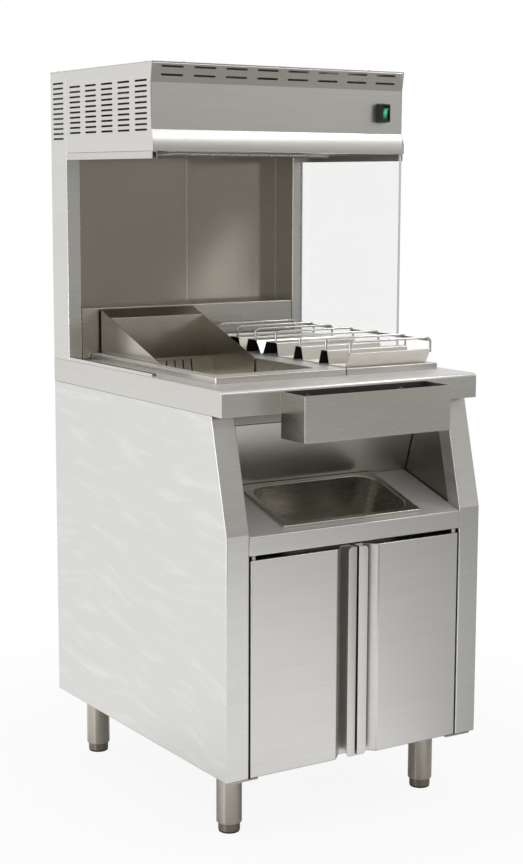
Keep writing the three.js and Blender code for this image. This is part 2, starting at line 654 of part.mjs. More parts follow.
function hoodSide(hand) {
  const rear = postFrontIn - gap;
  const outline = [...hoodFrontPath.slice(1, -1), [rear, hoodBottom], [rear, hoodTopFoot]];
  const lowest = hoodBottom + sideVent.footRise;
  const slots = Array.from({ length: sideVent.columns }, (_, column) => Array.from({ length: sideVent.rows },
    (__, row) => ventSlot(sideVent.firstIn + column * sideVent.columnPitch, lowest + row * vent.pitch)));
  return acrossX(outline, hand * (halfWidth - sheet), hand * halfWidth, slots.flat())
    .add(block(hand * (halfWidth - hoodFlange), hand * halfWidth, hood.noseIn + hood.lip + gap, rear,
      hoodBottom, hoodBottom + sheet));
}
for (const [hand, word] of hands) addPiece(`hood_side_${word}`, hoodSide(hand), steel);

addPiece('hood_top', block(-halfWidth, halfWidth, hood.topIn, station.depth, station.height - sheet,
  station.height), steel);

// Lamp tray, reflector, quartz lamps, their holders and the wire guard
const trayBottom = hoodBottom + sheet + gap;
const trayTop = trayBottom + sheet;
const mouthFront = reflector.middleIn - reflector.mouth / 2;
const mouthRear = reflector.middleIn + reflector.mouth / 2;
const lampHeight = hoodBottom + lamp.footRise;
const halfReflector = lamp.length / 2 + reflector.endRoom;
const hoodFloor = block(-hoodHalf, hoodHalf, hood.noseIn + sheet * 2, postFrontIn - gap, trayBottom, trayTop);
addPiece('lamp_tray', hoodFloor.subtract(block(-halfReflector, halfReflector, mouthFront,
  mouthRear, trayBottom - overrun, trayTop + overrun)), darkSteel);

const reflectorFoot = trayTop + gap;
const reflectorProfile = [
  [mouthFront - reflector.flange, reflectorFoot],
  [mouthFront, reflectorFoot],
  [reflector.middleIn - reflector.crown / 2, reflectorFoot + reflector.height],
  [reflector.middleIn + reflector.crown / 2, reflectorFoot + reflector.height],
  [mouthRear, reflectorFoot],
  [mouthRear + reflector.flange, reflectorFoot],
];
const reflectorEnd = reflectorProfile.slice(1, -1);
addPiece('lamp_reflector', joinAll([
  acrossX(folded(reflectorProfile, thinSheet), -halfReflector, halfReflector),
  acrossX(reflectorEnd, -halfReflector, -halfReflector + thinSheet),
  acrossX(reflectorEnd, halfReflector - thinSheet, halfReflector),
]), mirrorSteel);

function lampSolid(distanceIn) {
  const half = lamp.length / 2;
  const profile = [
    [0, -half],
    [lamp.capRadius, -half],
    [lamp.capRadius, -half + lamp.cap],
    [lamp.radius, -half + lamp.cap],
    [lamp.radius, half - lamp.cap],
    [lamp.capRadius, half - lamp.cap],
    [lamp.capRadius, half],
    [0, half],
  ];
  const geometry = new THREE.LatheGeometry(profile.map(([r, z]) => new THREE.Vector2(r, z)), smallSides);
  return toSolid(geometry.rotateZ(Math.PI / 2).translate(0, at(distanceIn), lampHeight));
}
addPiece('lamp_front', lampSolid(reflector.middleIn - lamp.spacing / 2), quartz);
addPiece('lamp_rear', lampSolid(reflector.middleIn + lamp.spacing / 2), quartz);
for (const [hand, word] of hands) {
  const near = lamp.length / 2 + gap;
  addPiece(`lamp_holder_${word}`, block(hand * near, hand * (near + holder.length),
    reflector.middleIn - holder.depth / 2, reflector.middleIn + holder.depth / 2,
    lampHeight - holder.below, reflectorFoot + reflector.height - gap), ceramic);
}

function guardSolid() {
  const z = trayBottom - gap - guard.rod / 2;
  const halfX = halfReflector + guard.overhang;
  const halfY = reflector.mouth / 2 + guard.overhang;
  const radius = guard.rod / 2;
  const rod = (length) => new THREE.CylinderGeometry(radius, radius, length, guard.sides);
  const long = centreDistances(guard.longRods, halfY - guard.rod).map((v) => toSolid(
    rod(halfX * 2).rotateZ(Math.PI / 2).translate(0, at(reflector.middleIn + v), z)));
  const crossPitch = (halfX - guard.rod) * 2 / (guard.crossRods - 1);
  const cross = centreDistances(guard.crossRods, crossPitch).map((x) => toSolid(
    rod(halfY * 2).translate(x, at(reflector.middleIn), z - guard.sink)));
  return joinAll([...long, ...cross]);
}
addPiece('lamp_guard', guardSolid(), wireSteel);

// Glass channels on both sides, and the pane on the right
const channelOuter = halfWidth;
const channelInner = halfWidth - channel.width;
function channelSolid(hand, mouthHeight, baseHeight, frontIn) {
  const path = [[hand * channelOuter, mouthHeight], [hand * channelOuter, baseHeight],
    [hand * channelInner, baseHeight], [hand * channelInner, mouthHeight]];
  const turnsLeft = (hand > 0) === (mouthHeight < baseHeight);
  return alongY(folded(path, turnsLeft ? sheet : -sheet), frontIn, postFrontIn - gap);
}
const channelTop = hoodBottom - gap;
for (const [hand, word] of hands) {
  const upper = channelSolid(hand, channelTop - channel.topHeight, channelTop, glass.front);
  const lower = channelSolid(hand, onWorktop + channel.bottomHeight, onWorktop, channel.frontIn);
  addPiece(`glass_channel_top_${word}`, upper, steel);
  addPiece(`glass_channel_bottom_${word}`, lower, steel);
}
const glassMiddle = (channelOuter + channelInner) / 2;
addPiece('glass_pane', block(glassMiddle - glass.thickness / 2, glassMiddle + glass.thickness / 2,
  glass.front, postFrontIn - gap, onWorktop + sheet + gap, channelTop - sheet - gap), clearGlass);

// Switch on the hood panel
const switchFront = hood.panelIn - gap - switchBox.stand;
const pivotIn = switchFront + switchBox.pivotBehind;
function switchHousing() {
  const face = roundedRectangle(switchX, switchHeight, switchBox.width, switchBox.tall, switchBox.corner);
  const body = alongY(face, switchFront, hood.panelIn - gap);
  const shank = block(switchX - switchBox.shankWidth / 2, switchX + switchBox.shankWidth / 2,
    hood.panelIn - gap - sheet, hood.panelIn + switchBox.shankDepth,
    switchHeight - switchBox.shankTall / 2, switchHeight + switchBox.shankTall / 2);
  const roomX = rocker.width / 2 + switchBox.rockerRoomX;
  const roomZ = rocker.halfHeight + switchBox.rockerRoomZ;
  return body.add(shank).subtract(block(switchX - roomX, switchX + roomX, switchFront - overrun,
    pivotIn + switchBox.recessBehind, switchHeight - roomZ, switchHeight + roomZ));
}
addPiece('switch_housing', switchHousing(), blackPlastic);

function switchRocker() {
  const tilt = THREE.MathUtils.degToRad(rocker.tilt);
  const outline = [[-rocker.tip, rocker.halfHeight], [-rocker.dip, 0], [-rocker.tip, -rocker.halfHeight],
    [rocker.back, -rocker.backHalfHeight], [rocker.back, rocker.backHalfHeight]];
  const leaning = outline.map(([u, v]) => [
    pivotIn + u * Math.cos(tilt) - v * Math.sin(tilt),
    switchHeight + u * Math.sin(tilt) + v * Math.cos(tilt),
  ]);
  return acrossX(leaning, switchX - rocker.width / 2, switchX + rocker.width / 2);
}
addPiece('switch_rocker', switchRocker(), greenLens);

// Dump pan hanging in the worktop, its drain plate and the lift-out chute
const panRight = dumpPan.rightOffset;
const panMiddle = { u: (panLeft + panRight) / 2, v: (dumpPan.front + dumpPan.rear) / 2 };
const panWide = panRight - panLeft;
const panLong = dumpPan.rear - dumpPan.front;
const rimEdge = {
  left: panLeft - dumpPan.rimLeft,
  right: panRight + dumpPan.rimRight,
  front: dumpPan.front - dumpPan.rimFront,
  rear: dumpPan.rear + dumpPan.rimRear,
};
function rimOutline(inset) {
  return roundedRectangle((rimEdge.left + rimEdge.right) / 2, (rimEdge.front + rimEdge.rear) / 2,
    rimEdge.right - rimEdge.left - inset * 2, rimEdge.rear - rimEdge.front - inset * 2,
    dumpPan.rimCorner - inset);
}
function dumpPanSolid() {
  const mouth = {
    ...panMiddle,
    wide: panWide,
    long: panLong,
    corner: dumpPan.corner,
    top: rimTop + overrun,
    depth: dumpPan.depth - thinSheet + overrun,
    taper: dumpPan.taper,
    fillet: dumpPan.fillet,
  };
  const shell = {
    ...mouth,
    wide: panWide + thinSheet * 2,
    long: panLong + thinSheet * 2,
    corner: dumpPan.corner + thinSheet,
    top: rimTop - thinSheet / 2,
    depth: dumpPan.depth - thinSheet / 2,
  };
  const rimBlock = loft([onWorktop, rimTop].map((z) => ({ points: rimOutline(0), z })));
  const rimHollow = loft([onWorktop - overrun, rimTop - thinSheet].map(
    (z) => ({ points: rimOutline(thinSheet), z })));
  return rimBlock.subtract(rimHollow).add(bowl(shell)).subtract(bowl(mouth));
}
addPiece('dump_pan', dumpPanSolid(), steel);

const drainFoot = drainTop - drain.stand;
function drainPlate() {
  const inset = dumpPan.taper + drain.sideGap;
  const wide = panWide / 2 - inset;
  const long = panLong / 2 - inset;
  const edge = dumpPan.fillet;
  const slotAt = (u, v) => slotOutline(drain.slotLength, drain.slotWidth).map(([a, b]) => [u + b, v + a]);
  const slots = centreDistances(drain.columns, drain.pitchX).flatMap((x) => centreDistances(
    drain.rows, drain.pitchY).map((v) => slotAt(panMiddle.u + x, panMiddle.v + v)));
  const plate = upZ(roundedRectangle(panMiddle.u, panMiddle.v, wide * 2, long * 2, dumpPan.corner),
    drainTop - thinSheet, drainTop, slots);
  const runner = (x) => block(x - thinSheet / 2, x + thinSheet / 2, panMiddle.v - long + edge,
    panMiddle.v + long - edge, drainFoot, drainTop - thinSheet / 2);
  return joinAll([plate, runner(panMiddle.u - wide + edge), runner(panMiddle.u + wide - edge)]);
}
addPiece('drain_plate', drainPlate(), darkSteel);

const chuteFoot = drainTop + gap;
const chuteTop = (distanceIn) => rimTop + chute.frontRise
  + (distanceIn - chute.frontIn) * (chute.rearRise - chute.frontRise) / (chute.rearIn - chute.frontIn);
function dumpChute() {
  const left = panLeft + dumpPan.taper + chute.sideGap;
  const right = panRight - dumpPan.taper - chute.sideGap;
  const sweepIn = chute.bendIn - chute.curve;
  const floorCurve = arc(sweepIn, chuteFoot + chute.curve, chute.curve, 0, -90, arcSteps * 2);
  const backPath = [[chute.rearIn, chuteTop(chute.rearIn)], [chute.bendIn, chuteTop(chute.bendIn)],
    ...floorCurve, [sweepIn - chute.footRun, chuteFoot]];
  const heelFoot = rimTop + gap;
  const inSheet = beside(backPath.slice(1, -1), -thinSheet / 2);
  const wing = [[chute.rearIn, chuteTop(chute.rearIn)], [chute.frontIn, chuteTop(chute.frontIn)],
    [chute.frontIn, chuteFoot + thinSheet / 2], ...inSheet.slice(1).reverse(), [inSheet[0][0], heelFoot],
    [chute.rearIn - chute.heel, heelFoot], [chute.rearIn, heelFoot + chute.heel]];
  const slotTop = rimTop - chute.slotDrop;
  const slots = centreDistances(chute.slots, chute.slotPitch).map((x) => block(
    panMiddle.u + x - chute.slotWidth / 2, panMiddle.u + x + chute.slotWidth / 2,
    chute.bendIn - chute.curve / 4, chute.bendIn + overrun, slotTop - chute.slotLength, slotTop));
  return joinAll([
    acrossX(folded(backPath, -thinSheet), left + thinSheet / 2, right - thinSheet / 2)
      .subtract(joinAll(slots)),
    acrossX(wing, left, left + thinSheet),
    acrossX(wing, right - thinSheet, right),
  ]);
}
addPiece('dump_chute', dumpChute(), steel);

// Raised tray on the right, and the two folded racks that stand on it
const trayLeft = rimEdge.right + rackTray.gap;
const trayRight = halfWidth - rackTray.rightInset;
addPiece('rack_tray', block(trayLeft, trayRight, rimEdge.front, rimEdge.rear, onWorktop, rimTop)
  .subtract(block(trayLeft + thinSheet, trayRight - thinSheet, rimEdge.front + thinSheet,
    rimEdge.rear - thinSheet, onWorktop - overrun, rimTop - thinSheet)), steel);

const rackFoot = rimTop + gap;
const rackTop = rackFoot + rack.height;
const rackLeft = trayLeft + rack.leftInset;
const rackRight = trayRight - rack.rightInset;
const wireTop = rackTop + wire.rise;

// Adds one ridge to a rack's path, and notes where its wire stands
function addRidge(path, feet, start, { rise, top, fall }) {
  const crest = start + rise;
  const crestHeight = rackTop - thinSheet;
  path.push([start, rackFoot], [crest, crestHeight], [crest + top, crestHeight]);
  feet.push(crest + wire.ridgeInset);
  if (fall) path.push([crest + top + fall, rackFoot]);
  return crest + top + (fall || 0);
}

function rackPaths() {
  const lipFront = ridge.front - ridge.lean;
  const frontPath = [[lipFront + ridge.wallTop, rackTop], [lipFront, rackTop], [ridge.front, rackFoot]];
  const frontFeet = [lipFront + ridge.wallTop / 2];
  let reached = ridge.front;
  for (const shape of [slimRidge, slimRidge, wideRidge]) {
    reached = addRidge(frontPath, frontFeet, reached + ridge.channel, shape);
  }
  const rearPath = [];
  const rearFeet = [];
  reached = addRidge(rearPath, rearFeet, reached + ridge.unitGap, rearRidge);
  reached = addRidge(rearPath, rearFeet, reached + ridge.rearChannel, lastRidge);
  addRidge(rearPath, rearFeet, reached + ridge.rearChannel, endWall);
  return [['front', frontPath, frontFeet], ['rear', rearPath, rearFeet]];
}

// A wire hoop: its left foot stands on a ridge, its right foot against the ridge's end
function hoop(distanceIn) {
  const y = at(distanceIn);
  const foot = rackTop + gap;
  const left = rackLeft + wire.endInset;
  const right = rackRight + gap + wire.diameter / 2;
  const rise = wireTop - wire.diameter / 2;
  const point = (x, z) => new THREE.Vector3(x, y, z);
  const bends = [[left + wire.bend, 180, 90], [right - wire.bend, 90, 0]].map(([x, from, to]) => arc(
    x, rise - wire.bend, wire.bend, from, to).map(([u, v]) => point(u, v)));
  const points = [point(left, foot), ...bends[0], ...bends[1], point(right, rackTop - wire.rightFootDrop)];
  return toSolid(tubeAlong(points, wire.diameter / 2));
}

// A tube whose rings lie square to a flat path, closed at both ends
function tubeAlong(points, radius) {
  const normal = new THREE.Vector3(0, 1, 0);
  const positions = [];
  const index = [];
  const sides = wire.sides;
  points.forEach((point, i) => {
    const next = points[Math.min(i + 1, points.length - 1)];
    const ahead = next.clone().sub(points[Math.max(i, 1) - 1]).normalize();
    if (i > 0 && i < points.length - 1) {
      const before = point.clone().sub(points[i - 1]).normalize();
      const after = points[i + 1].clone().sub(point).normalize();
      ahead.copy(before.add(after).normalize());
    }
    const across = new THREE.Vector3().crossVectors(normal, ahead);
    for (let k = 0; k < sides; k++) {
      const angle = k / sides * Math.PI * 2;
      const spoke = across.clone().multiplyScalar(Math.cos(angle)).addScaledVector(normal, Math.sin(angle));
      const ring = point.clone().addScaledVector(spoke, radius);
      positions.push(ring.x, ring.y, ring.z);
    }
  });
  for (let ring = 0; ring < points.length - 1; ring++) {
    for (let k = 0; k < sides; k++) {
      const a = ring * sides + k;
      const b = ring * sides + (k + 1) % sides;
      index.push(a, b, b + sides, a, b + sides, a + sides);
    }
  }
  const last = (points.length - 1) * sides;
  for (let k = 1; k < sides - 1; k++) {
    index.push(0, k + 1, k);
    index.push(last, last + k, last + k + 1);
  }
  const geometry = new THREE.BufferGeometry();
  geometry.setAttribute('position', new THREE.BufferAttribute(new Float32Array(positions), 3));
  geometry.setIndex(index);
  return geometry;
}

// The tie wire that joins the hoops under their tops near the right end
function tieWire(feet) {
  const length = feet[feet.length - 1] - feet[0];
  const geometry = new THREE.CylinderGeometry(wire.diameter / 2, wire.diameter / 2, length, wire.sides);
  return toSolid(geometry.translate(rackRight - wire.tieInset, at((feet[0] + feet[feet.length - 1]) / 2),
    wireTop - wire.tieDrop));
}

for (const [word, path, feet] of rackPaths()) {
  addPiece(`rack_${word}`, acrossX(folded(path, thinSheet), rackLeft, rackRight), steel);
  addPiece(`rack_${word}_wires`, joinAll([...feet.map(hoop), tieWire(feet)]), wireSteel);
}

// Trough hung on the worktop's front edge by two keyholes
function troughSolid() {
  const back = -trough.backGap;
  const front = -trough.reach;
  const half = trough.width / 2;
  const top = worktop.height - trough.topDrop;
  const bottom = top - trough.depth;
  const body = block(-half, half, front, back, bottom, top)
    .subtract(block(-half + thinSheet, half - thinSheet, front + thinSheet, back - thinSheet,
      bottom + thinSheet, top + overrun));
  const near = back - thinSheet - overrun;
  const far = back + overrun;
  const keyholes = [-1, 1].flatMap((hand) => {
    const x = hand * stud.apart / 2;
    const narrow = stud.radius + stud.clearance;
    const lowHole = studHeight - stud.drop;
    return [
      alongY(circle(x, studHeight, narrow), near, far),
      alongY(circle(x, lowHole, stud.head + stud.clearance), near, far),
      block(x - narrow, x + narrow, near, far, lowHole, studHeight),
    ];
  });
  return body.subtract(joinAll(keyholes));
}
addPiece('trough', troughSolid(), steel);

export default assembly;
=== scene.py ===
# French fry dump station: finishes, rounded folds, pans, wires, feet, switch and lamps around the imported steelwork.
# Metres, +Z up, front towards -Y.
import json
from math import cos, pi, radians, sin

import bmesh
import bpy
from mathutils import Matrix, Vector


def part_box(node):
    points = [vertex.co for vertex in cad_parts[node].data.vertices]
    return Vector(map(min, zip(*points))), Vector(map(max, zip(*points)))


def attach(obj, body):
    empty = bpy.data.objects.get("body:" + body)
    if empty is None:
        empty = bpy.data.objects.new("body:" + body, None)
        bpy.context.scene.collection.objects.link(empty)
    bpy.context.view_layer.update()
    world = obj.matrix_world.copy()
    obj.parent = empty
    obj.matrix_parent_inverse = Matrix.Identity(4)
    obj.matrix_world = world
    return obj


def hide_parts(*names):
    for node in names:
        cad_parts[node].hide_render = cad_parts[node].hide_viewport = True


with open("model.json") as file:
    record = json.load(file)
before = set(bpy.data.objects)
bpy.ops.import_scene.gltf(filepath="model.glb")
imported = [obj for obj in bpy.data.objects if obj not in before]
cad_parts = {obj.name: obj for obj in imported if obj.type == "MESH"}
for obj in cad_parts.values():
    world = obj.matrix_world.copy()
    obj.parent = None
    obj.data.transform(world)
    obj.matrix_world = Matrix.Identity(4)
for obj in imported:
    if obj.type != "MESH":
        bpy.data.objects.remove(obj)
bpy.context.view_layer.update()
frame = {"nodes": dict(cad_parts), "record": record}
nodes = frame["nodes"]
scene = bpy.context.scene
mm = 0.001
rowFront = -0.31  # the worktop's front face
white = (1, 1, 1, 1)

bodyOf = {node: body for body, members in frame["record"]["behaviour"]["bodies"].items() for node in members}
print("frame loaded:", len(nodes), "nodes")


# From millimetres behind the worktop's front face
def at(distanceIn):
    return rowFront + distanceIn * mm


# Links each socket to the input of that name or number, or sets the input's plain value
def feed(tree, node, inputs):
    for name, value in inputs.items():
        if isinstance(value, bpy.types.NodeSocket):
            tree.links.new(value, node.inputs[name])
        else:
            node.inputs[name].default_value = value
    return node


# Inputs are given by name, or as i0, i1 and so on by their number
def addNode(tree, kind, settings=None, **inputs):
    node = tree.nodes.new(kind)
    for name, value in (settings or {}).items():
        setattr(node, name, value)
    return feed(tree, node, {int(name[1:]) if name[1:].isdigit() else name: value for name, value in inputs.items()})


def mathNode(tree, operation, a, b=0.0, c=0.0):
    return addNode(tree, "ShaderNodeMath", {"operation": operation}, i0=a, i1=b, i2=c).outputs[0]


def axes(tree, vector):
    return addNode(tree, "ShaderNodeSeparateXYZ", i0=vector).outputs


def scaled(tree, parts, factors):
    x, y, z = (mathNode(tree, "MULTIPLY", part, factor) for part, factor in zip(parts, factors))
    return addNode(tree, "ShaderNodeCombineXYZ", i0=x, i1=y, i2=z).outputs[0]


def noise(tree, place, size, detail=2.0, rough=0.5, distortion=0.0):
    return addNode(tree, "ShaderNodeTexNoise", Vector=place, Scale=size, Detail=detail, Roughness=rough,
        Distortion=distortion).outputs["Fac"]


def mixNumber(tree, share, low, high):
    return addNode(tree, "ShaderNodeMix", i0=share, i2=low, i3=high).outputs[0]


def blendColor(tree, share, low, high, way="MIX"):
    return addNode(tree, "ShaderNodeMix", {"data_type": "RGBA", "blend_type": way}, i0=share, i6=low,
        i7=high).outputs[2]


def ramp(tree, value, start, end, low=0.0, high=1.0, way="SMOOTHSTEP"):
    return addNode(tree, "ShaderNodeMapRange", {"interpolation_type": way}, i0=value, i1=start, i2=end, i3=low,
        i4=high).outputs[0]


# One where a face lies flat, and none where it stands
def liesFlat(tree, facing):
    return mathNode(tree, "GREATER_THAN", mathNode(tree, "ABSOLUTE", axes(tree, facing)[2]), 0.7)


# Shader groups shared by the finishes; what they put out are plain numbers
def newGroup(name, inputs, outputs):
    tree = bpy.data.node_groups.new(name, "ShaderNodeTree")
    for label, kind in inputs.items():
        tree.interface.new_socket(label, in_out="INPUT", socket_type="NodeSocket" + kind)
    for label in outputs:
        tree.interface.new_socket(label, in_out="OUTPUT", socket_type="NodeSocketFloat")
    return tree, tree.nodes.new("NodeGroupInput").outputs, tree.nodes.new("NodeGroupOutput")


brush = {"coarseSize": 0.17, "uprightDepth": 0.35}  # a flat top shows its grain most


# Brush lines: along the sheet on upright faces, across the front on flat ones
def makeGrainGroup():
    tree, enter, leave = newGroup("brushGrain", {"Place": "Vector", "Facing": "Vector", "Run": "Float",
        "Cross": "Float", "Standing": "Float"}, ("Lines", "Streaks", "Ridges"))
    place, facing, run, cross, standing = (enter[n] for n in ("Place", "Facing", "Run", "Cross", "Standing"))
    across, up = mixNumber(tree, standing, run, cross), mixNumber(tree, standing, cross, run)
    parts = tuple(axes(tree, place))
    lying = liesFlat(tree, facing)
    chosen = addNode(tree, "ShaderNodeMix", {"data_type": "VECTOR"}, i0=lying,
        i4=scaled(tree, parts, (across, across, up)), i5=scaled(tree, parts, (run, cross, run))).outputs[1]
    fine = noise(tree, chosen, 1.0, 3.0, 0.65)
    depth = mathNode(tree, "MULTIPLY_ADD", lying, 1 - brush["uprightDepth"], brush["uprightDepth"])
    feed(tree, leave, {"Lines": fine, "Streaks": noise(tree, chosen, brush["coarseSize"]),
        "Ridges": mathNode(tree, "MULTIPLY", fine, depth)})
    return tree


strokes = {"wander": 0.14, "wanderSize": 2.4, "slant": -0.08, "pitch": (6.0, 46.0, 3.0), "detail": 5.0, "rough": 0.62,
    "distortion": 0.35, "faint": 0.48, "full": 0.72, "cloudSize": 3.2}


# Wipe marks left by a cloth: level strokes that wander a little, thicker in places
def makeWipeGroup():
    tree, enter, leave = newGroup("wipeMarks", {"Place": "Vector", "Facing": "Vector", "Size": "Float"},
        ("Marks", "Cloud"))
    x, y, z = axes(tree, enter["Place"])
    lying = liesFlat(tree, enter["Facing"])
    across = mathNode(tree, "ADD", x, mathNode(tree, "MULTIPLY", y, mathNode(tree, "SUBTRACT", 1.0, lying)))
    sloped = mathNode(tree, "MULTIPLY_ADD", across, strokes["slant"], mixNumber(tree, lying, z, y))
    wander = noise(tree, enter["Place"], strokes["wanderSize"], 1.0)
    bowed = mathNode(tree, "MULTIPLY_ADD", wander, strokes["wander"], sloped)
    stroke = scaled(tree, (across, bowed, mathNode(tree, "SUBTRACT", x, y)), strokes["pitch"])
    sized = addNode(tree, "ShaderNodeVectorMath", {"operation": "SCALE"}, i0=stroke, Scale=enter["Size"]).outputs[0]
    strands = noise(tree, sized, 1.0, strokes["detail"], strokes["rough"], strokes["distortion"])
    feed(tree, leave, {"Marks": ramp(tree, strands, strokes["faint"], strokes["full"]),
        "Cloud": noise(tree, enter["Place"], strokes["cloudSize"])})
    return tree


grainGroup = makeGrainGroup()
wipeGroup = makeWipeGroup()


def useGroup(tree, group, inputs):
    node = tree.nodes.new("ShaderNodeGroup")
    node.node_tree = group
    return feed(tree, node, inputs).outputs


def newMaterial(name):
    material = bpy.data.materials.new(name)
    material.use_nodes = True
    tree = material.node_tree
    return material, tree, tree.nodes["Principled BSDF"], tree.nodes.new("ShaderNodeTexCoord").outputs


def tone(color, share):
    return tuple(c * share for c in color) + (1.0,)


# Two tones of a colour, as far below it as above, chosen by a number that changes over the surface
def twoTone(tree, share, color, spread):
    return blendColor(tree, share, tone(color, 1 - spread), tone(color, 1 + spread))


def bump(tree, strength, depth, height):
    return addNode(tree, "ShaderNodeBump", Strength=strength, Distance=depth, Height=height).outputs[0]


# A sheet of brushed steel: grain in its colour, roughness and relief, and wipe marks over it
def brushedSteel(name, look):
    material, tree, shader, place = newMaterial(name)
    where = {"Place": place["Object"], "Facing": place["Normal"]}
    grain = useGroup(tree, grainGroup,
        {**where, "Run": look["run"], "Cross": look["cross"], "Standing": look["standing"]})
    wipe = useGroup(tree, wipeGroup, {**where, "Size": look["wipeSize"]})
    shown = twoTone(tree, grain["Lines"], look["color"], look["lines"])
    for layer in (twoTone(tree, grain["Streaks"], white[:3], look["streaks"]),
            blendColor(tree, wipe["Marks"], white, look["wipeTint"])):
        shown = blendColor(tree, 1.0, shown, layer, "MULTIPLY")
    if "highlightLine" in look:  # a thin upright line painted brighter in the colour: a painted highlight
        highlightLine = look["highlightLine"]
        aside = mathNode(tree, "ABSOLUTE", mathNode(tree, "SUBTRACT", axes(tree, place["Object"])[0], highlightLine["x"]))
        onHighlightLine = mathNode(tree, "LESS_THAN", aside, highlightLine["half"])
        shown = blendColor(tree, onHighlightLine, shown, tone(look["color"], highlightLine["bright"]))
    rough = look["rough"] - look["roughSpread"] / 2
    for value, share in ((grain["Lines"], look["roughSpread"]), (wipe["Marks"], look["wipeRough"]),
            (wipe["Cloud"], look["cloudRough"])):
        rough = mathNode(tree, "MULTIPLY_ADD", value, share, rough)
    feed(tree, shader, {"Base Color": shown, "Roughness": rough, "Metallic": look["metal"],
        "Normal": bump(tree, look["relief"], look["reliefDepth"], grain["Ridges"]),
        "Anisotropic": look["around"], "Anisotropic Rotation": 0.25})
    return material


plainSteel = {"color": (0.64, 0.63, 0.605), "run": 14.0, "cross": 1100.0, "standing": 0.0, "lines": 0.05,
    "streaks": 0.04, "wipeSize": 1.0, "wipeTint": white, "wipeRough": 0.03, "cloudRough": 0.05, "rough": 0.28,
    "roughSpread": 0.1, "relief": 0.15, "reliefDepth": 0.0004, "metal": 1.0, "around": 0.0}
finishes = {
    "panelSteel": {"color": (0.68, 0.675, 0.66), "rough": 0.42, "lines": 0.025, "streaks": 0.02, "relief": 0.08,
        "wipeTint": (1.1, 1.1, 1.1, 1), "wipeRough": 0.12},
    "stileSteel": {"color": (0.64, 0.635, 0.61), "rough": 0.26, "relief": 0.02},
    "hoodSteel": {"rough": 0.28, "relief": 0.12},
    # A darker copy of the hood's steel for the downward vent facet: painted shade
    "paintedShadeFacetSteel": {"color": (0.5, 0.485, 0.45), "rough": 0.28, "relief": 0.1},
    "shelfSteel": {"rough": 0.42, "relief": 0.05, "metal": 0.45},
    "doorSteel": {"rough": 0.28, "relief": 0.25},
    "topSteel": {"color": (0.6, 0.59, 0.56), "rough": 0.27, "relief": 0.06},
    # A rougher copy of the steel for upward faces, lighter in colour: painted light on the tops
    "deckSteelPaintedLight": {"color": (0.74, 0.73, 0.71), "rough": 0.42, "relief": 0.06, "metal": 0.4},
    "panSteel": {"color": (0.57, 0.55, 0.5), "rough": 0.25, "lines": 0.02, "streaks": 0.02, "relief": 0.0,
        "wipeRough": 0.05},
    "chuteSteel": {"color": (0.5, 0.47, 0.41), "rough": 0.2, "lines": 0.03, "relief": 0.06, "wipeRough": 0.0},
    "nicheSteel": {"color": (0.52, 0.505, 0.465), "rough": 0.28},
    "cheekSteel": {"color": (0.32, 0.305, 0.27), "rough": 0.26, "relief": 0.05},
    "backSteel": {"color": (0.34, 0.315, 0.268), "rough": 0.1, "roughSpread": 0.04, "wipeRough": 0.02,
        "standing": 1.0, "relief": 0.03, "highlightLine": {"x": 0.032, "half": 0.0011, "bright": 1.6}},
    "upstandSteel": {"color": (0.52, 0.5, 0.46), "rough": 0.26, "lines": 0.02, "relief": 0.0},
    "troughSteel": {"color": (0.61, 0.59, 0.55), "rough": 0.26, "streaks": 0.02, "relief": 0.03},
    # A dark copy of the steel for the trough's inside faces: painted shade
    "paintedShadeSteel": {"color": (0.2, 0.195, 0.19), "rough": 0.35},
    "rackSteel": {"color": (0.7, 0.68, 0.64), "rough": 0.3, "wipeTint": (0.92, 0.88, 0.8, 1), "wipeSize": 3.0,
        "relief": 0.05},
    "legSteel": {"color": (0.46, 0.43, 0.375), "rough": 0.3, "run": 30.0, "cross": 1500.0, "lines": 0.08,
        "around": 0.9},
    "footSteel": {"color": (0.25, 0.22, 0.175), "rough": 0.3, "run": 30.0, "cross": 1500.0, "lines": 0.1,
        "around": 0.9},
    "wireSteel": {"color": (0.56, 0.55, 0.53), "rough": 0.14, "lines": 0.02, "relief": 0.02},
    "screwSteel": {"color": (0.5, 0.49, 0.47), "rough": 0.25, "lines": 0.04, "relief": 0.05},
    "mirrorSteel": {"color": (0.8, 0.8, 0.79), "rough": 0.07, "lines": 0.01, "relief": 0.01, "wipeRough": 0.03},
}
steel = {name: brushedSteel(name, {**plainSteel, **look}) for name, look in finishes.items()}
print("steel finishes made:", len(steel))


# Moulded plastic, rubber and ceramic: a fine speckle in colour, roughness and relief
def moulded(name, color, rough, size, relief, metallic=0.0):
    material, tree, shader, place = newMaterial(name)
    speckle = noise(tree, place["Object"], size, 3.0)
    feed(tree, shader, {"Base Color": twoTone(tree, speckle, color, 0.18), "Metallic": metallic,
        "Roughness": mathNode(tree, "MULTIPLY_ADD", speckle, 0.16, rough - 0.08),
        "Normal": bump(tree, relief, 0.0002, speckle)})
    return material


blackPlastic = moulded("blackPlastic", (0.012, 0.015, 0.015), 0.34, 1800.0, 0.15)
# Near black for the hollow undersides of the rack ridges: painted shade standing in for the dark inside
paintedShadeInside = moulded("paintedShadeInside", (0.006, 0.006, 0.006), 0.75, 900.0, 0.1)
rubber = moulded("rubber", (0.014, 0.014, 0.014), 0.7, 1200.0, 0.25)
ceramic = moulded("ceramic", (0.78, 0.76, 0.7), 0.62, 900.0, 0.2)
darkLens = moulded("darkLens", (0.004, 0.07, 0.035), 0.22, 900.0, 0.05)
glassEdge = moulded("glassEdge", (0.62, 0.66, 0.64), 0.5, 700.0, 0.1)
filamentMetal = moulded("filamentMetal", (0.5, 0.42, 0.34), 0.4, 2500.0, 0.1, 1.0)


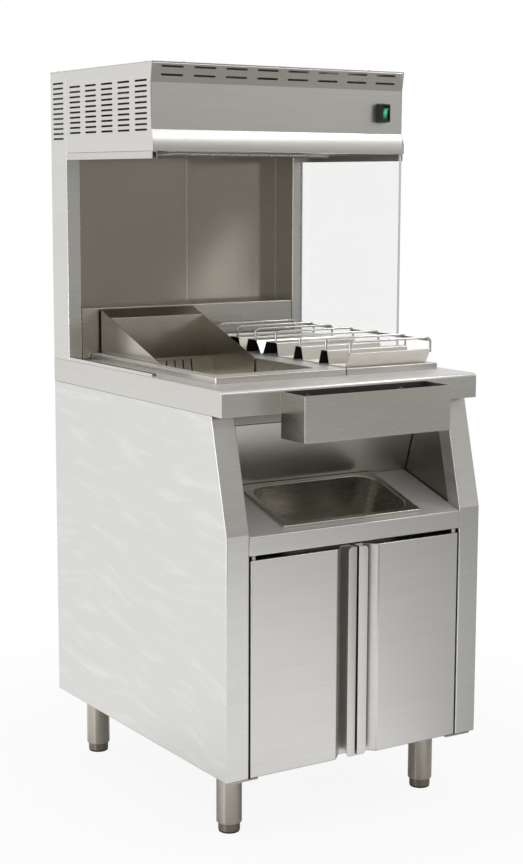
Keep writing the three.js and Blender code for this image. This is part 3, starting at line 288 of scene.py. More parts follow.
# The lit rocker: brightest in the middle of its window
def litLens(middleX, middleZ, halfWide, halfTall):
    material, tree, shader, place = newMaterial("greenLens")
    middle = addNode(tree, "ShaderNodeMapping", i0=place["Object"],
        Location=(-middleX / halfWide, 0, -middleZ / halfTall), Scale=(1 / halfWide, 0, 1 / halfTall))
    spot = addNode(tree, "ShaderNodeTexGradient", {"gradient_type": "SPHERICAL"}, i0=middle.outputs[0]).outputs["Fac"]
    ribs = noise(tree, place["Object"], 500.0)
    glow = mathNode(tree, "MULTIPLY", spot, mathNode(tree, "MULTIPLY_ADD", ribs, 0.8, 0.6))
    feed(tree, shader, {"Base Color": blendColor(tree, glow, (0.0, 0.06, 0.025, 1), (0.02, 0.5, 0.2, 1)),
        "Emission Color": blendColor(tree, glow, (0.0, 0.12, 0.05, 1), (0.05, 0.6, 0.26, 1)),
        "Roughness": mathNode(tree, "MULTIPLY_ADD", ribs, 0.1, 0.12), "Emission Strength": 0.7})
    return material


# Clear toughened glass and the milky quartz of the lamps
def glassy(name, color, rough, transmission, size):
    material, tree, shader, place = newMaterial(name)
    film = noise(tree, place["Object"], size, 3.0)
    feed(tree, shader, {"Base Color": blendColor(tree, film, tone(color, 0.97), tone(color, 1.0)),
        "Roughness": mathNode(tree, "MULTIPLY_ADD", film, 0.03, rough), "Transmission Weight": transmission,
        "IOR": 1.46})
    return material


clearGlass = glassy("clearGlass", (0.985, 0.99, 0.985), 0.0, 1.0, 6.0)
quartz = glassy("quartz", (0.9, 0.84, 0.8), 0.2, 0.8, 300.0)
print("other finishes made")


# Pieces are meshes in the frame's own place that ride on their node's body
def addPiece(name, mesh, material, node, replaces=True):
    for surface in material if isinstance(material, list) else [material]:
        mesh.materials.append(surface)
    piece = bpy.data.objects.new(name, mesh)
    scene.collection.objects.link(piece)
    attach(piece, bodyOf[node])
    if replaces:
        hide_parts(node)


def meshFrom(name, work):
    mesh = bpy.data.meshes.new(name)
    work.to_mesh(mesh)
    work.free()
    return mesh


# A CAD node's loose triangles joined into whole flat faces
def wholeFaces(node):
    work = bmesh.new()
    work.from_mesh(nodes[node].data)
    bmesh.ops.remove_doubles(work, verts=work.verts, dist=2e-6)
    bmesh.ops.dissolve_limit(work, angle_limit=radians(0.4), verts=work.verts, edges=work.edges)
    return work


def roundEdges(work, edges, size, segments):
    bmesh.ops.bevel(work, geom=edges, offset=size, offset_type="OFFSET", segments=segments, profile=0.5,
        affect="EDGES", clamp_overlap=True)


flatJoint = radians(0.6)  # an edge that bends less lies inside a flat face


def bendAngle(edge):
    return edge.calc_face_angle(0.0) if len(edge.link_faces) == 2 else pi


# How wide a face is, square to the middle of one of its edges; flat joints inside a face are stepped over
def widthAt(face, edge):
    loop = next(l for l in face.loops if l.edge == edge)
    along = (loop.link_loop_next.vert.co - loop.vert.co).normalized()
    inward = face.normal.cross(along)
    middle = (edge.verts[0].co + edge.verts[1].co) / 2
    reached, seen = 0.0, {face}
    while True:
        nearest, crossed = 1e9, None
        for other in face.edges:
            if other == edge:
                continue
            (ax, ay), (bx, by) = (((v.co - middle).dot(along), (v.co - middle).dot(inward)) for v in other.verts)
            if ax * bx <= 0 and abs(ax - bx) > 1e-9:
                distance = ay + (by - ay) * ax / (ax - bx)
                if reached + 1e-7 < distance < nearest:
                    nearest, crossed = distance, other
        if crossed is None:
            return reached
        if len(crossed.link_faces) != 2 or bendAngle(crossed) > flatJoint:
            return nearest
        beyond = [f for f in crossed.link_faces if f not in seen]
        if not beyond:
            return nearest
        reached, face, edge = nearest, beyond[0], crossed
        seen.add(face)


# Rounded strips are smooth, wide flat faces stay flat, and corners stay sharp
def shadeFolds(work, widest=24 * mm, sharp=radians(34)):
    for edge in work.edges:
        edge.smooth = bendAngle(edge) < sharp
    for face in work.faces:
        longest = max(face.edges, key=lambda e: e.calc_length())
        face.smooth = widthAt(face, longest) < widest and any(flatJoint < bendAngle(e) < sharp for e in face.edges)


fold = {"widerThan": 4.2, "steps": 3, "least": 25, "rollSteps": 10, "rollLeast": 15, "rollReach": 4}


# A CAD node's sheet with its outer folds rounded, and a shallow fold at its front rolled through the sheet;
# faces that answer the test get the second finish
def foldedSheet(node, radius, roll=0, second=None):
    work = wholeFaces(node)
    front = min(v.co.y for v in work.verts) + fold["rollReach"] * mm
    for size, segments, low, high, rolled in ((radius, fold["steps"], fold["least"], 181, False),
            (roll, fold["rollSteps"], fold["rollLeast"], fold["least"], True)):
        work.normal_update()
        folds = [e for e in work.edges if len(e.link_faces) == 2 and radians(low) < bendAngle(e) <= radians(high)
            and (all(v.co.y < front for v in e.verts) if rolled else e.is_convex)
            and all(widthAt(f, e) > fold["widerThan"] * mm for f in e.link_faces)]
        if folds and size:
            roundEdges(work, folds, size, segments)
    work.normal_update()
    shadeFolds(work)
    for face in work.faces:
        face.material_index = int(bool(second and second(face.calc_center_median(), face.normal)))
    return meshFrom(node + "_sheet", work)


# Each sheet's fold radius in millimetres, by the finish that it wears
sheets = {
    "panelSteel": {"side_panel_left": 2.2, "side_panel_right": 2.2},
    "stileSteel": {"post_left": 1.2, "post_right": 1.2},
    "upstandSteel": {"upstand": 1.6},
    "topSteel": {"worktop": 2.6, "rack_tray": 2.0, "glass_channel_top_left": 0.8, "glass_channel_top_right": 0.8,
        "glass_channel_bottom_left": 0.8, "glass_channel_bottom_right": 0.8},
    "hoodSteel": {"hood_front": 2.0, "hood_side_left": 1.0, "hood_side_right": 1.0, "hood_top": 0.5},
    "doorSteel": {"door_left": 2.0, "door_right": 2.0, "niche_shelf": 1.8},
    "troughSteel": {"trough": 0.8},
    "cheekSteel": {"niche_cheek_left": 1.0, "niche_cheek_right": 1.0},
    "nicheSteel": {"niche_back": 1.5, "cross_rail": 1.6, "door_liner_left": 1.5, "door_liner_right": 1.5,
        "cabinet_floor": 2.0, "cabinet_back": 0.6, "lamp_tray": 0.6},
    "chuteSteel": {"dump_chute": 1.4, "drain_plate": 0.5},
    "backSteel": {"rear_panel": 0.5},
    "rackSteel": {"rack_front": 1.2, "rack_rear": 1.2},
    "mirrorSteel": {"lamp_reflector": 1.0},
    "legSteel": {"hinge_bracket_left": 0.8, "hinge_bracket_right": 0.8},
}
rolls = {"hood_front": 15.0}  # the nose rolls softly under


# The faces that wear a sheet's second finish, by a face's middle and the way that it faces
def onTop(middle, facing):
    return facing.z > 0.9


def atFront(middle, facing):
    return facing.y < -0.85


def atRear(middle, facing):
    return facing.y > 0.5


# The downward vent facet, which wears the darker copy of the steel as painted shade
def onVentFacet(middle, facing):
    return facing.z < -0.1 and middle.z > 1.4


# The trough's inside faces and its low floor, which wear the dark copy as painted shade
def insideTrough(middle, facing):
    inward = middle.x * facing.x < -0.05 or (middle.y + 0.35) * facing.y < -0.005
    return inward or (facing.z > 0.9 and middle.z < 0.79)


# Downward faces under the rack ridges, which wear the near black as painted shade
def underRack(middle, facing):
    return facing.z < -0.05 and not (middle.y < at(119) and facing.y < -0.1)


seconds = {
    "side_panel_left": (steel["stileSteel"], atFront),
    "side_panel_right": (steel["stileSteel"], atFront),
    "hood_front": (steel["paintedShadeFacetSteel"], onVentFacet),
    "niche_shelf": (steel["shelfSteel"], onTop),
    "rear_panel": (steel["hoodSteel"], atRear),
    "worktop": (steel["deckSteelPaintedLight"], onTop),
    "rack_tray": (steel["deckSteelPaintedLight"], onTop),
    "trough": (steel["paintedShadeSteel"], insideTrough),
    "rack_front": (paintedShadeInside, underRack),
    "rack_rear": (paintedShadeInside, underRack),
}
for finish, group in sheets.items():
    for node, radius in group.items():
        surface, test = seconds.get(node, (None, None))
        mesh = foldedSheet(node, radius * mm, rolls.get(node, 0) * mm, test)
        addPiece(node + "_sheet", mesh, [steel[finish], surface] if surface else steel[finish], node)
print("folded sheets rounded")


def smoothMesh(work, smoothBelow):
    for face in work.faces:
        face.smooth = True
    for edge in work.edges:
        edge.smooth = bendAngle(edge) < radians(smoothBelow)


# A closed shell through loops of points; its two ends are closed with fans
def shellThrough(name, loops, smoothBelow=34, closed=False):
    work = bmesh.new()
    rows = [[work.verts.new(point) for point in loop] for loop in loops]
    for low, high in zip(rows, rows[1:] + rows[:1] if closed else rows[1:]):
        for i, a in enumerate(low):
            j = (i + 1) % len(low)
            work.faces.new((a, low[j], high[j], high[i]))
    if not closed:
        for row in (rows[0], rows[-1]):
            middle = work.verts.new(sum((v.co for v in row), Vector()) / len(row))
            for i, a in enumerate(row):
                work.faces.new((a, row[(i + 1) % len(row)], middle))
    bmesh.ops.recalc_face_normals(work, faces=work.faces)
    smoothMesh(work, smoothBelow)
    return meshFrom(name, work)


# A rectangle with round corners as a loop of points at one height
def roundLoop(x, y, wide, long, corner, z, place, steps=8):
    points = []
    for signX, signY, start in ((1, 1, 0), (-1, 1, 90), (-1, -1, 180), (1, -1, 270)):
        for i in range(steps + 1):
            angle = radians(start + 90 * i / steps)
            points.append(place @ Vector(((x + signX * (wide / 2 - corner) + corner * cos(angle)) * mm,
                (y + signY * (long / 2 - corner) + corner * sin(angle)) * mm, z * mm)))
    return points


# A pan from the middle of its floor up the inside, over the rolled rim and back under, as loops
def panLoops(pan, place):
    x, y, wide, long, corner = pan["mouth"]
    rimX, rimY, rimWide, rimLong, rimCorner = pan["rim"]
    wall, top, roll, edge, floor, fillet = (pan[n] for n in ("wall", "top", "roll", "edge", "floor", "fillet"))
    arcs = [radians(90 * i / 6) for i in range(7)]

    def bowl(inset, z):
        return roundLoop(x, y, wide - 2 * inset, long - 2 * inset, max(corner - inset, corner / 2), z, place)

    def rim(inset, z):
        return roundLoop(rimX, rimY, rimWide - 2 * inset, rimLong - 2 * inset, max(rimCorner - inset, 0.6), z, place)

    def inside(extra, foot, curve):
        loops = [bowl(pan["taper"] + curve + 2.0 - extra, foot)]
        return loops + [bowl(pan["taper"] - extra + curve * (1 - sin(a)), foot + curve * (1 - cos(a))) for a in arcs]

    over = [bowl(-roll * (1 - cos(a)), top - roll + roll * sin(a)) for a in arcs] + [bowl(-roll - 1.0, top)]
    over += [rim(edge + 0.8, top)] + [rim(edge * (1 - sin(a)), top - edge * (1 - cos(a))) for a in arcs]
    under = [rim(0, pan["rimFoot"]), rim(wall, pan["rimFoot"]), rim(wall, top - wall), bowl(-wall, top - wall)]
    return (inside(0, floor, fillet) + [bowl(0.0, top - roll - 1.0)] + over + under
        + inside(wall, floor - wall, fillet + wall)[::-1])


slope = radians(17.3)
dumpPan = {"mouth": (-112, 377.5, 232, 465, 10), "rim": (-98.5, 363.5, 303, 523, 4), "wall": 1.2, "top": 889.9,
    "roll": 2.2, "edge": 1.6, "rimFoot": 877.3, "floor": 766.1, "fillet": 10, "taper": 1}
lowerPan = {"mouth": (0, 0, 301.4, 152.4, 43.8), "rim": (0, 0, 325, 176, 5), "wall": 1.2, "top": 5.3,
    "roll": 2.6, "edge": 1.6, "rimFoot": 0.3, "floor": -94.7, "fillet": 18, "taper": 6}
shelfPlace = Matrix.Translation((0, at(81.835), 634.096 * mm)) @ Matrix.Rotation(slope, 4, "X")
topPlace = Matrix.Translation((0, rowFront, 0))
highRim = 0.88
for node, pan, place in (("dump_pan", dumpPan, topPlace), ("lower_pan", lowerPan, shelfPlace)):
    shell = shellThrough(node + "_shell", panLoops(pan, place))
    for face in shell.polygons:  # the flat of the high rim wears the worktop's rougher top copy, lighter in colour as painted light
        face.material_index = int(face.normal.z > 0.95 and face.center.z > highRim)
    addPiece(node + "_shell", shell, [steel["panSteel"], steel["deckSteelPaintedLight"]], node)
print("pans drawn")


# Turned pieces: a (radius, height) profile round an axis; a profile off the axis closes on itself
def turnedMesh(name, profile, place, sides=64):
    onAxis = profile[0][0] < 1e-7
    rings = profile[1:-1] if onAxis else profile
    loops = [[place @ Vector((r * mm * cos(2 * pi * i / sides), r * mm * sin(2 * pi * i / sides), z * mm))
        for i in range(sides)] for r, z in rings]
    return shellThrough(name, loops, closed=not onAxis)


def addTurned(name, profile, place, material, node, sides=64):
    addPiece(name, turnedMesh(name, profile, place, sides), material, node)


# A round bend between two straight stretches of a profile
def bend(radius, height, size, start, end, steps=4):
    turns = [radians(start + (end - start) * i / steps) for i in range(steps + 1)]
    return [(radius + size * cos(turn), height + size * sin(turn)) for turn in turns]


leg = {"radius": 25.0, "bore": 23.0, "bottom": 19.0, "top": 135.2, "plate": 2.0, "plateRadius": 38.0, "round": 1.6,
    "weld": 3.0, "stem": 6.3, "nutTop": 72.0, "nutBottom": 60.0}
under = leg["top"] - leg["plate"]
legProfile = [(leg["bore"], leg["bottom"]),
    *bend(leg["radius"] - leg["round"], leg["bottom"] + leg["round"], leg["round"], -90, 0),
    *bend(leg["radius"] + leg["weld"], under - leg["weld"], leg["weld"], 180, 90),
    (leg["plateRadius"], under), (leg["plateRadius"], leg["top"]), (leg["bore"], leg["top"]),
    (leg["bore"], leg["nutTop"]), (leg["stem"], leg["nutTop"]), (leg["stem"], leg["nutBottom"]),
    (leg["bore"], leg["nutBottom"])]
foot = {"radius": 21.5, "pad": 3.0, "padRadius": 20.7, "padRound": 0.8, "top": 41.0, "stem": 6.0, "stemTop": 115.0,
    "round": 1.2}
footProfile = [(0, foot["pad"]), (foot["radius"] - foot["round"], foot["pad"]),
    *bend(foot["radius"] - foot["round"], foot["pad"] + foot["round"], foot["round"], -90, 0)[1:],
    (foot["radius"], foot["top"]), (foot["stem"], foot["top"]), (foot["stem"], foot["stemTop"]), (0, foot["stemTop"])]
padProfile = [(0, 0), *bend(foot["padRadius"] - foot["padRound"], foot["padRound"], foot["padRound"], -90, 0),
    (foot["padRadius"], foot["pad"]), (0, foot["pad"])]
for row, distanceIn in (("front", 78), ("rear", 637)):
    for word, x in (("left", -0.235), ("right", 0.235)):
        place = Matrix.Translation((x, at(distanceIn), 0))
        legNode, footNode = f"leg_{row}_{word}", f"foot_{row}_{word}"
        addTurned(legNode + "_tube", legProfile, place, steel["legSteel"], legNode)
        addTurned(footNode + "_collar", footProfile, place, steel["footSteel"], footNode)
        addTurned(footNode + "_pad", padProfile, place, rubber, footNode)
print("legs and feet turned")


def heightsOf(node):
    return [corner[2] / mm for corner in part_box(node)]


# Hinge pins, and the cable gland with its hexagon nut
pin = {"x": 0.238, "in": -12, "radius": 3.0, "tip": 0.8, "grip": 10.3, "collar": 5.0, "edge": 0.6}
for word, side in (("left", -1), ("right", 1)):
    low, high = heightsOf(f"hinge_pin_{word}")
    radius, collar, tip, edge, gripped = pin["radius"], pin["collar"], pin["tip"], pin["edge"], low + pin["grip"]
    profile = [(0, low), (radius - tip, low), (radius, low + tip), (radius, gripped), (collar - edge, gripped),
        (collar, gripped + edge), (collar, high - edge), (collar - edge, high), (0, high)]
    place = Matrix.Translation((side * pin["x"], at(pin["in"]), 0))
    addTurned(f"hinge_pin_{word}_turned", profile, place, steel["legSteel"], f"hinge_pin_{word}", 32)
gland = {"x": -0.12, "in": 650, "bore": 5.0, "radius": 12.0, "dome": 3.5, "groove": (8, 9, 11, 12), "flange": 19.5,
    "shank": 9.3, "edge": 0.8, "nut": 12.9, "nutFrom": 8.9, "nutTo": 4.1, "nutGap": 0.05}
low, high = heightsOf("cable_gland")
radius, shank, dome = gland["radius"], gland["shank"], gland["dome"]
glandProfile = [(gland["bore"], low), *bend(radius - dome, low + dome, dome, -90, 0),
    *((radius - inset, low + rise) for inset, rise in zip((0, 1, 1, 0), gland["groove"])),
    (radius, low + gland["flange"]), (shank, low + gland["flange"]), (shank, high - gland["edge"]),
    (shank - gland["edge"], high), (gland["bore"], high)]
nutProfile = [(shank + gland["nutGap"], high - gland["nutFrom"]), (gland["nut"], high - gland["nutFrom"]),
    (gland["nut"], high - gland["nutTo"]), (shank + gland["nutGap"], high - gland["nutTo"])]
glandPlace = Matrix.Translation((gland["x"], at(gland["in"]), 0))
addTurned("cable_gland_body", glandProfile, glandPlace, blackPlastic, "cable_gland", 48)
addTurned("cable_gland_nut", nutProfile, glandPlace, blackPlastic, "cable_gland", 6)
print("pins and gland turned")

# Switch: a tapered housing with a well, and a rocker with a lit window
switch = {"x": 246.0, "z": 1397.5, "panel": 260.7, "front": 242.7, "wide": 25.0, "tall": 40.0, "taper": 1.6,
    "flange": 2.0, "well": (16.6, 28.0), "wellFloor": 255.2, "shank": (20.0, 31.0), "shankEnd": 285.0, "pivot": 249.7}
facingFront = topPlace @ Matrix.Rotation(pi / 2, 4, "X")
wide, tall = switch["wide"], switch["tall"]
faceWide, faceTall = wide - 2 * switch["taper"], tall - 2 * switch["taper"]
wellWide, wellTall = switch["well"]
flangeIn = switch["panel"] - switch["flange"]
# Width, height, corner radius and distance in of each loop, from the well's floor out and round to the shank's end
housingRows = ((wellWide, wellTall, 1.0, switch["wellFloor"]), (wellWide, wellTall, 1.0, switch["front"] + 0.6),
    (wellWide + 1.2, wellTall + 1.2, 1.4, switch["front"]), (faceWide - 1.6, faceTall - 1.6, 2.0, switch["front"]),
    (faceWide, faceTall, 2.6, switch["front"] + 0.8), (wide - 0.8, tall - 0.8, 2.8, flangeIn - 0.4),
    (wide, tall, 3.0, flangeIn), (wide, tall, 3.0, switch["panel"]),
    (*switch["shank"], 1.0, switch["panel"]), (*switch["shank"], 1.0, switch["shankEnd"]))
housing = [roundLoop(switch["x"], switch["z"], rowWide, rowTall, corner, -rowIn, facingFront, 4)
    for rowWide, rowTall, corner, rowIn in housingRows]
addPiece("switch_housing_moulding", shellThrough("switch_housing_moulding", housing), blackPlastic, "switch_housing")

rocker = {"wide": 15.0, "tall": 25.0, "tip": 5.5, "dip": 3.0, "back": 3.0, "backTall": 20.0, "tilt": 10.0,
    "edge": 0.5, "rim": 2.4, "window": 0.35, "windowDeep": 0.6, "rows": 12, "glow": (0.007, 0.011), "glowUp": 2}
greenLens = litLens(switch["x"] * mm, (switch["z"] + rocker["glowUp"]) * mm, *rocker["glow"])
rockerPlace = (Matrix.Translation((switch["x"] * mm, at(switch["pivot"]), switch["z"] * mm))
    @ Matrix.Rotation(radians(rocker["tilt"]), 4, "X"))


# How far each row across the rocker's face stands out, and its height, both from the pivot; hollow in the middle
def rockerRows(lift, tallShare):
    rows = []
    for i in range(rocker["rows"] + 1):
        share = -1 + 2 * i / rocker["rows"]
        depth = rocker["dip"] + (rocker["tip"] - rocker["dip"]) * share * share * tallShare + lift
        rows.append((-depth, share * rocker["tall"] / 2 * tallShare))
    return rows


def placeRocker(loops):
    return [[rockerPlace @ (Vector(point) * mm) for point in loop] for loop in loops]


def rockerBody():
    half, edge, back = rocker["wide"] / 2, rocker["edge"], rocker["back"]
    loops = []
    for y, z in rockerRows(0, 1.0):
        backZ = z * rocker["backTall"] / rocker["tall"]
        loops.append([(-half + edge, y, z), (half - edge, y, z), (half, y + edge, z), (half, back, backZ),
            (-half, back, backZ), (-half, y + edge, z)])
    return placeRocker(loops)


def rockerWindow():
    half = rocker["wide"] / 2 - rocker["rim"]
    share = 1 - 2 * rocker["rim"] / rocker["tall"]
    rows = zip(rockerRows(rocker["window"], share), rockerRows(-rocker["windowDeep"], share))
    return placeRocker([[(-half, y, z), (half, y, z), (half, deep, z), (-half, deep, z)] for (y, z), (deep, _) in rows])


for name, loops, material in (("frame", rockerBody(), darkLens), ("window", rockerWindow(), greenLens)):
    addPiece(f"switch_rocker_{name}", shellThrough(f"switch_rocker_{name}", loops, 30), material, "switch_rocker")
print("switch moulded")

# Glass pane with ground edges
work = wholeFaces("glass_pane")
roundEdges(work, work.edges[:], 0.6 * mm, 1)
work.normal_update()
for face in work.faces:
    face.material_index = int(abs(face.normal.x) < 0.95)
addPiece("glass_pane_ground", meshFrom("glass_pane_ground", work), [clearGlass, glassEdge], "glass_pane")


# Geometry Nodes: a wire bent along lines, and small heads set on points
def newNodes(name, inputs):
    tree = bpy.data.node_groups.new(name, "GeometryNodeTree")
    tree.interface.new_socket("Geometry", in_out="INPUT", socket_type="NodeSocketGeometry")
    keys = {label: tree.interface.new_socket(label, in_out="INPUT", socket_type="NodeSocket" + kind).identifier
        for label, kind in inputs.items()}
    tree.interface.new_socket("Geometry", in_out="OUTPUT", socket_type="NodeSocketGeometry")
    return tree, tree.nodes.new("NodeGroupInput").outputs, keys


def closeTree(tree, enter, geometry):
    real = addNode(tree, "GeometryNodeRealizeInstances", i0=geometry)
    finished = addNode(tree, "GeometryNodeSetMaterial", i0=real.outputs[0], Material=enter["Finish"])
    addNode(tree, "NodeGroupOutput", i0=finished.outputs[0])
    return tree


def makeWireTree():
    tree, enter, keys = newNodes("bentWire", {"Wire radius": "Float", "Bend radius": "Float", "Bend steps": "Int",
        "Sides": "Int", "Finish": "Material"})
    lines = addNode(tree, "GeometryNodeMeshToCurve", i0=enter[0])
    bent = addNode(tree, "GeometryNodeFilletCurve", {"mode": "POLY"}, i0=lines.outputs[0], Count=enter["Bend steps"],
        Radius=enter["Bend radius"])
    ring = addNode(tree, "GeometryNodeCurvePrimitiveCircle", Resolution=enter["Sides"], Radius=enter["Wire radius"])
    tube = addNode(tree, "GeometryNodeCurveToMesh", i0=bent.outputs[0], i1=ring.outputs[0])
    feed(tree, tube, {"Fill Caps": True})
    return closeTree(tree, enter, tube.outputs[0]), keys


def makeHeadTree():
    tree, enter, keys = newNodes("setHeads", {"Head": "Object", "Size": "Float", "Finish": "Material"})
    head = addNode(tree, "GeometryNodeObjectInfo", i0=enter["Head"])
    facing = addNode(tree, "GeometryNodeInputNamedAttribute", {"data_type": "FLOAT_VECTOR"}, i0="facing")
    turned = addNode(tree, "FunctionNodeAlignRotationToVector", {"axis": "Z"}, i2=facing.outputs[0])
    size = addNode(tree, "ShaderNodeCombineXYZ", i0=enter["Size"], i1=enter["Size"], i2=enter["Size"])
    heads = addNode(tree, "GeometryNodeInstanceOnPoints", i0=enter[0], Instance=head.outputs["Geometry"],
        Rotation=turned.outputs[0], Scale=size.outputs[0])
    return closeTree(tree, enter, heads.outputs[0]), keys


wireTree, wireKeys = makeWireTree()
headTree, headKeys = makeHeadTree()


# Runs a tree on points and lines, and gives back a plain mesh
def grow(name, tree, keys, points, lines, settings, facings=None, smoothBelow=40):
    mesh = bpy.data.meshes.new(name + "_lines")
    mesh.from_pydata([Vector(p) * mm for p in points], lines, [])
    if facings:
        held = mesh.attributes.new("facing", "FLOAT_VECTOR", "POINT")
        held.data.foreach_set("vector", [c for facing in facings for c in facing])
    maker = bpy.data.objects.new(name + "_maker", mesh)
    scene.collection.objects.link(maker)
    modifier = maker.modifiers.new("grow", "NODES")
    modifier.node_group = tree
    for label, value in settings.items():
        modifier[keys[label]] = value
    grown = bpy.data.meshes.new_from_object(maker.evaluated_get(bpy.context.evaluated_depsgraph_get()))
    grown.name = name
    bpy.data.objects.remove(maker)
    work = bmesh.new()
    work.from_mesh(grown)
    smoothMesh(work, smoothBelow)
    work.to_mesh(grown)
    work.free()
    grown.materials.clear()
    return grown


def addWires(name, points, lines, radius, sides, finish, node, bendRadius=0.0, bendSteps=1, smoothBelow=40):
    mesh = grow(name, wireTree, wireKeys, points, lines, {"Wire radius": radius * mm, "Bend radius": bendRadius * mm,
        "Bend steps": bendSteps, "Sides": sides, "Finish": finish}, smoothBelow=smoothBelow)
    addPiece(name, mesh, finish, node)


def addHeads(name, headName, profile, sides, points, facings, finish, node, smoothBelow=40):
    head = bpy.data.objects.new(headName, turnedMesh(headName, profile, Matrix(), sides))
    settings = {"Head": head, "Size": 1.0, "Finish": finish}
    mesh = grow(name, headTree, headKeys, points, [], settings, facings, smoothBelow)
    addPiece(name, mesh, finish, node, replaces=False)


# Rack hoops: left foot on a ridge, right foot against its end, a tie wire under the tops
rack = {"left": 61.0, "right": 263.0, "top": 918.7, "wire": 2.5, "bend": 9.0, "rise": 25.3, "endInset": 3.5,
    "endGap": 0.3, "footDrop": 7.0, "footIn": 9, "firstFoot": 108.0, "firstChannel": 118, "tieInset": 3.0,
    "tieDrop": 7.0}
bead = [(0, 0), (3.3, 0), (3.3, 0.5), (2.8, 1.1), (0, 1.3)]
ridges = {"slim": (7, 20, 8.5), "wide": (6, 40, 13), "rear": (17, 33, 9), "last": (9, 34, 16), "end": (8, 14, 0)}


def ridgeFeet(start, steps):
    feet, reached = [], start
    for channel, kind in steps:
        rise, top, fall = ridges[kind]
        feet.append(reached + channel + rise + rack["footIn"])
        reached += channel + rise + top + fall
    return feet, reached


frontFeet, reached = ridgeFeet(rack["firstChannel"], ((58.5, "slim"), (58.5, "slim"), (58.5, "wide")))
rearFeet, reached = ridgeFeet(reached, ((10, "rear"), (22, "last"), (22, "end")))
tubeTop = rack["top"] + rack["rise"] - rack["wire"]
leftX, rightX = rack["left"] + rack["endInset"], rack["right"] + rack["endGap"] + rack["wire"]
tieX, tieZ = rack["right"] - rack["tieInset"], rack["top"] + rack["rise"] - rack["tieDrop"]
for word, feet in (("front", [rack["firstFoot"]] + frontFeet), ("rear", rearFeet)):
    points, lines = [], []
    ys = [at(distance) / mm for distance in feet]
    for y in ys:
        first = len(points)
        points += [(leftX, y, rack["top"] + 0.1), (leftX, y, tubeTop), (rightX, y, tubeTop),
            (rightX, y, rack["top"] - rack["footDrop"])]
        lines += [(first + i, first + i + 1) for i in range(3)]
    lines.append((len(points), len(points) + 1))
    points += [(tieX, ys[0], tieZ), (tieX, ys[-1], tieZ)]
    addWires(f"rack_{word}_hoops", points, lines, rack["wire"], 14, steel["wireSteel"], f"rack_{word}_wires",
        rack["bend"], 7)
    addHeads(f"rack_{word}_welds", "bead", bead, 16, [(leftX, y, rack["top"] + 0.05) for y in ys],
        [(0, 0, 1)] * len(feet), steel["wireSteel"], f"rack_{word}_wires")

# Wire guard under the lamps
guard = {"halfX": 196.0, "halfY": 64.0, "in": 440, "inset": 4, "wire": 2.0, "height": 1311.7, "sink": 2.3}
points = []
middleY = at(guard["in"]) / mm
for i in (-1, 0, 1):
    y = middleY + i * (guard["halfY"] - guard["inset"])
    points += [(side * guard["halfX"], y, guard["height"]) for side in (-1, 1)]
for i in range(-4, 5):
    x = i * (guard["halfX"] - guard["inset"]) / 4
    points += [(x, middleY + side * guard["halfY"], guard["height"] - guard["sink"]) for side in (-1, 1)]
lines = [(i, i + 1) for i in range(0, len(points), 2)]
addWires("lamp_guard_wires", points, lines, guard["wire"], 12, steel["wireSteel"], "lamp_guard")
print("wires bent")

# Screws with a round socket: round the hood's cover, down the rear panel and across its top
screw = {"radius": 4.0, "tall": 1.9, "round": 1.4, "socket": 1.7, "deep": 1.2, "sides": 18}
socketFloor = screw["tall"] - screw["deep"]
headProfile = [(0, socketFloor), (screw["socket"], socketFloor), (screw["socket"], screw["tall"]),
    *bend(screw["radius"] - screw["round"], screw["tall"] - screw["round"], screw["round"], 90, 0),
    (screw["radius"], 0), (0, 0)]
onCover = [(x, at(270) / mm, 1483) for x in (-222, 0, 222)]
onCover += [(x, at(distanceIn) / mm, 1483) for x in (-289, 289) for distanceIn in (300, 490, 680)]
onRear = [(x, 390, z) for x in (-261, 261) for z in (900, 1090, 1280, 1465)] + [(x, 390, 1465) for x in (-90, 90)]
addHeads("casing_screws", "screwHead", headProfile, screw["sides"], onCover + onRear,
    [(0, 0, 1)] * len(onCover) + [(0, 1, 0)] * len(onRear), steel["screwSteel"], "hood_top", 30)
print("screws set:", len(onCover + onRear))

# Quartz lamps: a hollow tube between two caps, with a coiled filament inside
lamp = {"half": 150.0, "tube": 5.0, "bore": 3.8, "cap": 6.5, "capLong": 14.0, "capEdge": 0.8, "grip": 2,
    "height": 1337.0, "coil": 1.7, "turns": 46, "perTurn": 8, "filament": 0.45}
inner, edge = lamp["half"] - lamp["capLong"] + lamp["grip"], lamp["capEdge"]
tube = [(lamp["bore"], -inner), (lamp["tube"], -inner), (lamp["tube"], inner), (lamp["bore"], inner)]
steps = lamp["turns"] * lamp["perTurn"]
for word, distanceIn in (("front", 417), ("rear", 463)):
    node = f"lamp_{word}"
    place = Matrix.Translation((0, at(distanceIn), lamp["height"] * mm)) @ Matrix.Rotation(pi / 2, 4, "Y")
    addTurned(node + "_tube", tube, place, quartz, node, 32)
    for side, name in ((-1, "left"), (1, "right")):
        near, far = (lamp["half"] - lamp["capLong"]) * side, lamp["half"] * side
        cap = [(0, near), (lamp["cap"] - edge, near), (lamp["cap"], near + edge * side),
            (lamp["cap"], far - edge * side), (lamp["cap"] - edge, far), (0, far)]
        addTurned(f"{node}_cap_{name}", cap, place, ceramic, node, 32)
    turns = [2 * pi * i / lamp["perTurn"] for i in range(steps + 1)]
    coil = [((-1 + 2 * i / steps) * (inner - 1), at(distanceIn) / mm + lamp["coil"] * cos(turn),
        lamp["height"] + lamp["coil"] * sin(turn)) for i, turn in enumerate(turns)]
    addWires(node + "_filament", coil, [(i, i + 1) for i in range(steps)], lamp["filament"], 5, filamentMetal, node,
        smoothBelow=80)
print("lamps fitted")

# Blocks with softened corners
blocks = {"lamp_holder_left": (2.0, ceramic), "lamp_holder_right": (2.0, ceramic), "door_catch": (1.5, blackPlastic)}
for node, (radius, material) in blocks.items():
    addPiece(node + "_block", foldedSheet(node, radius * mm), material, node)

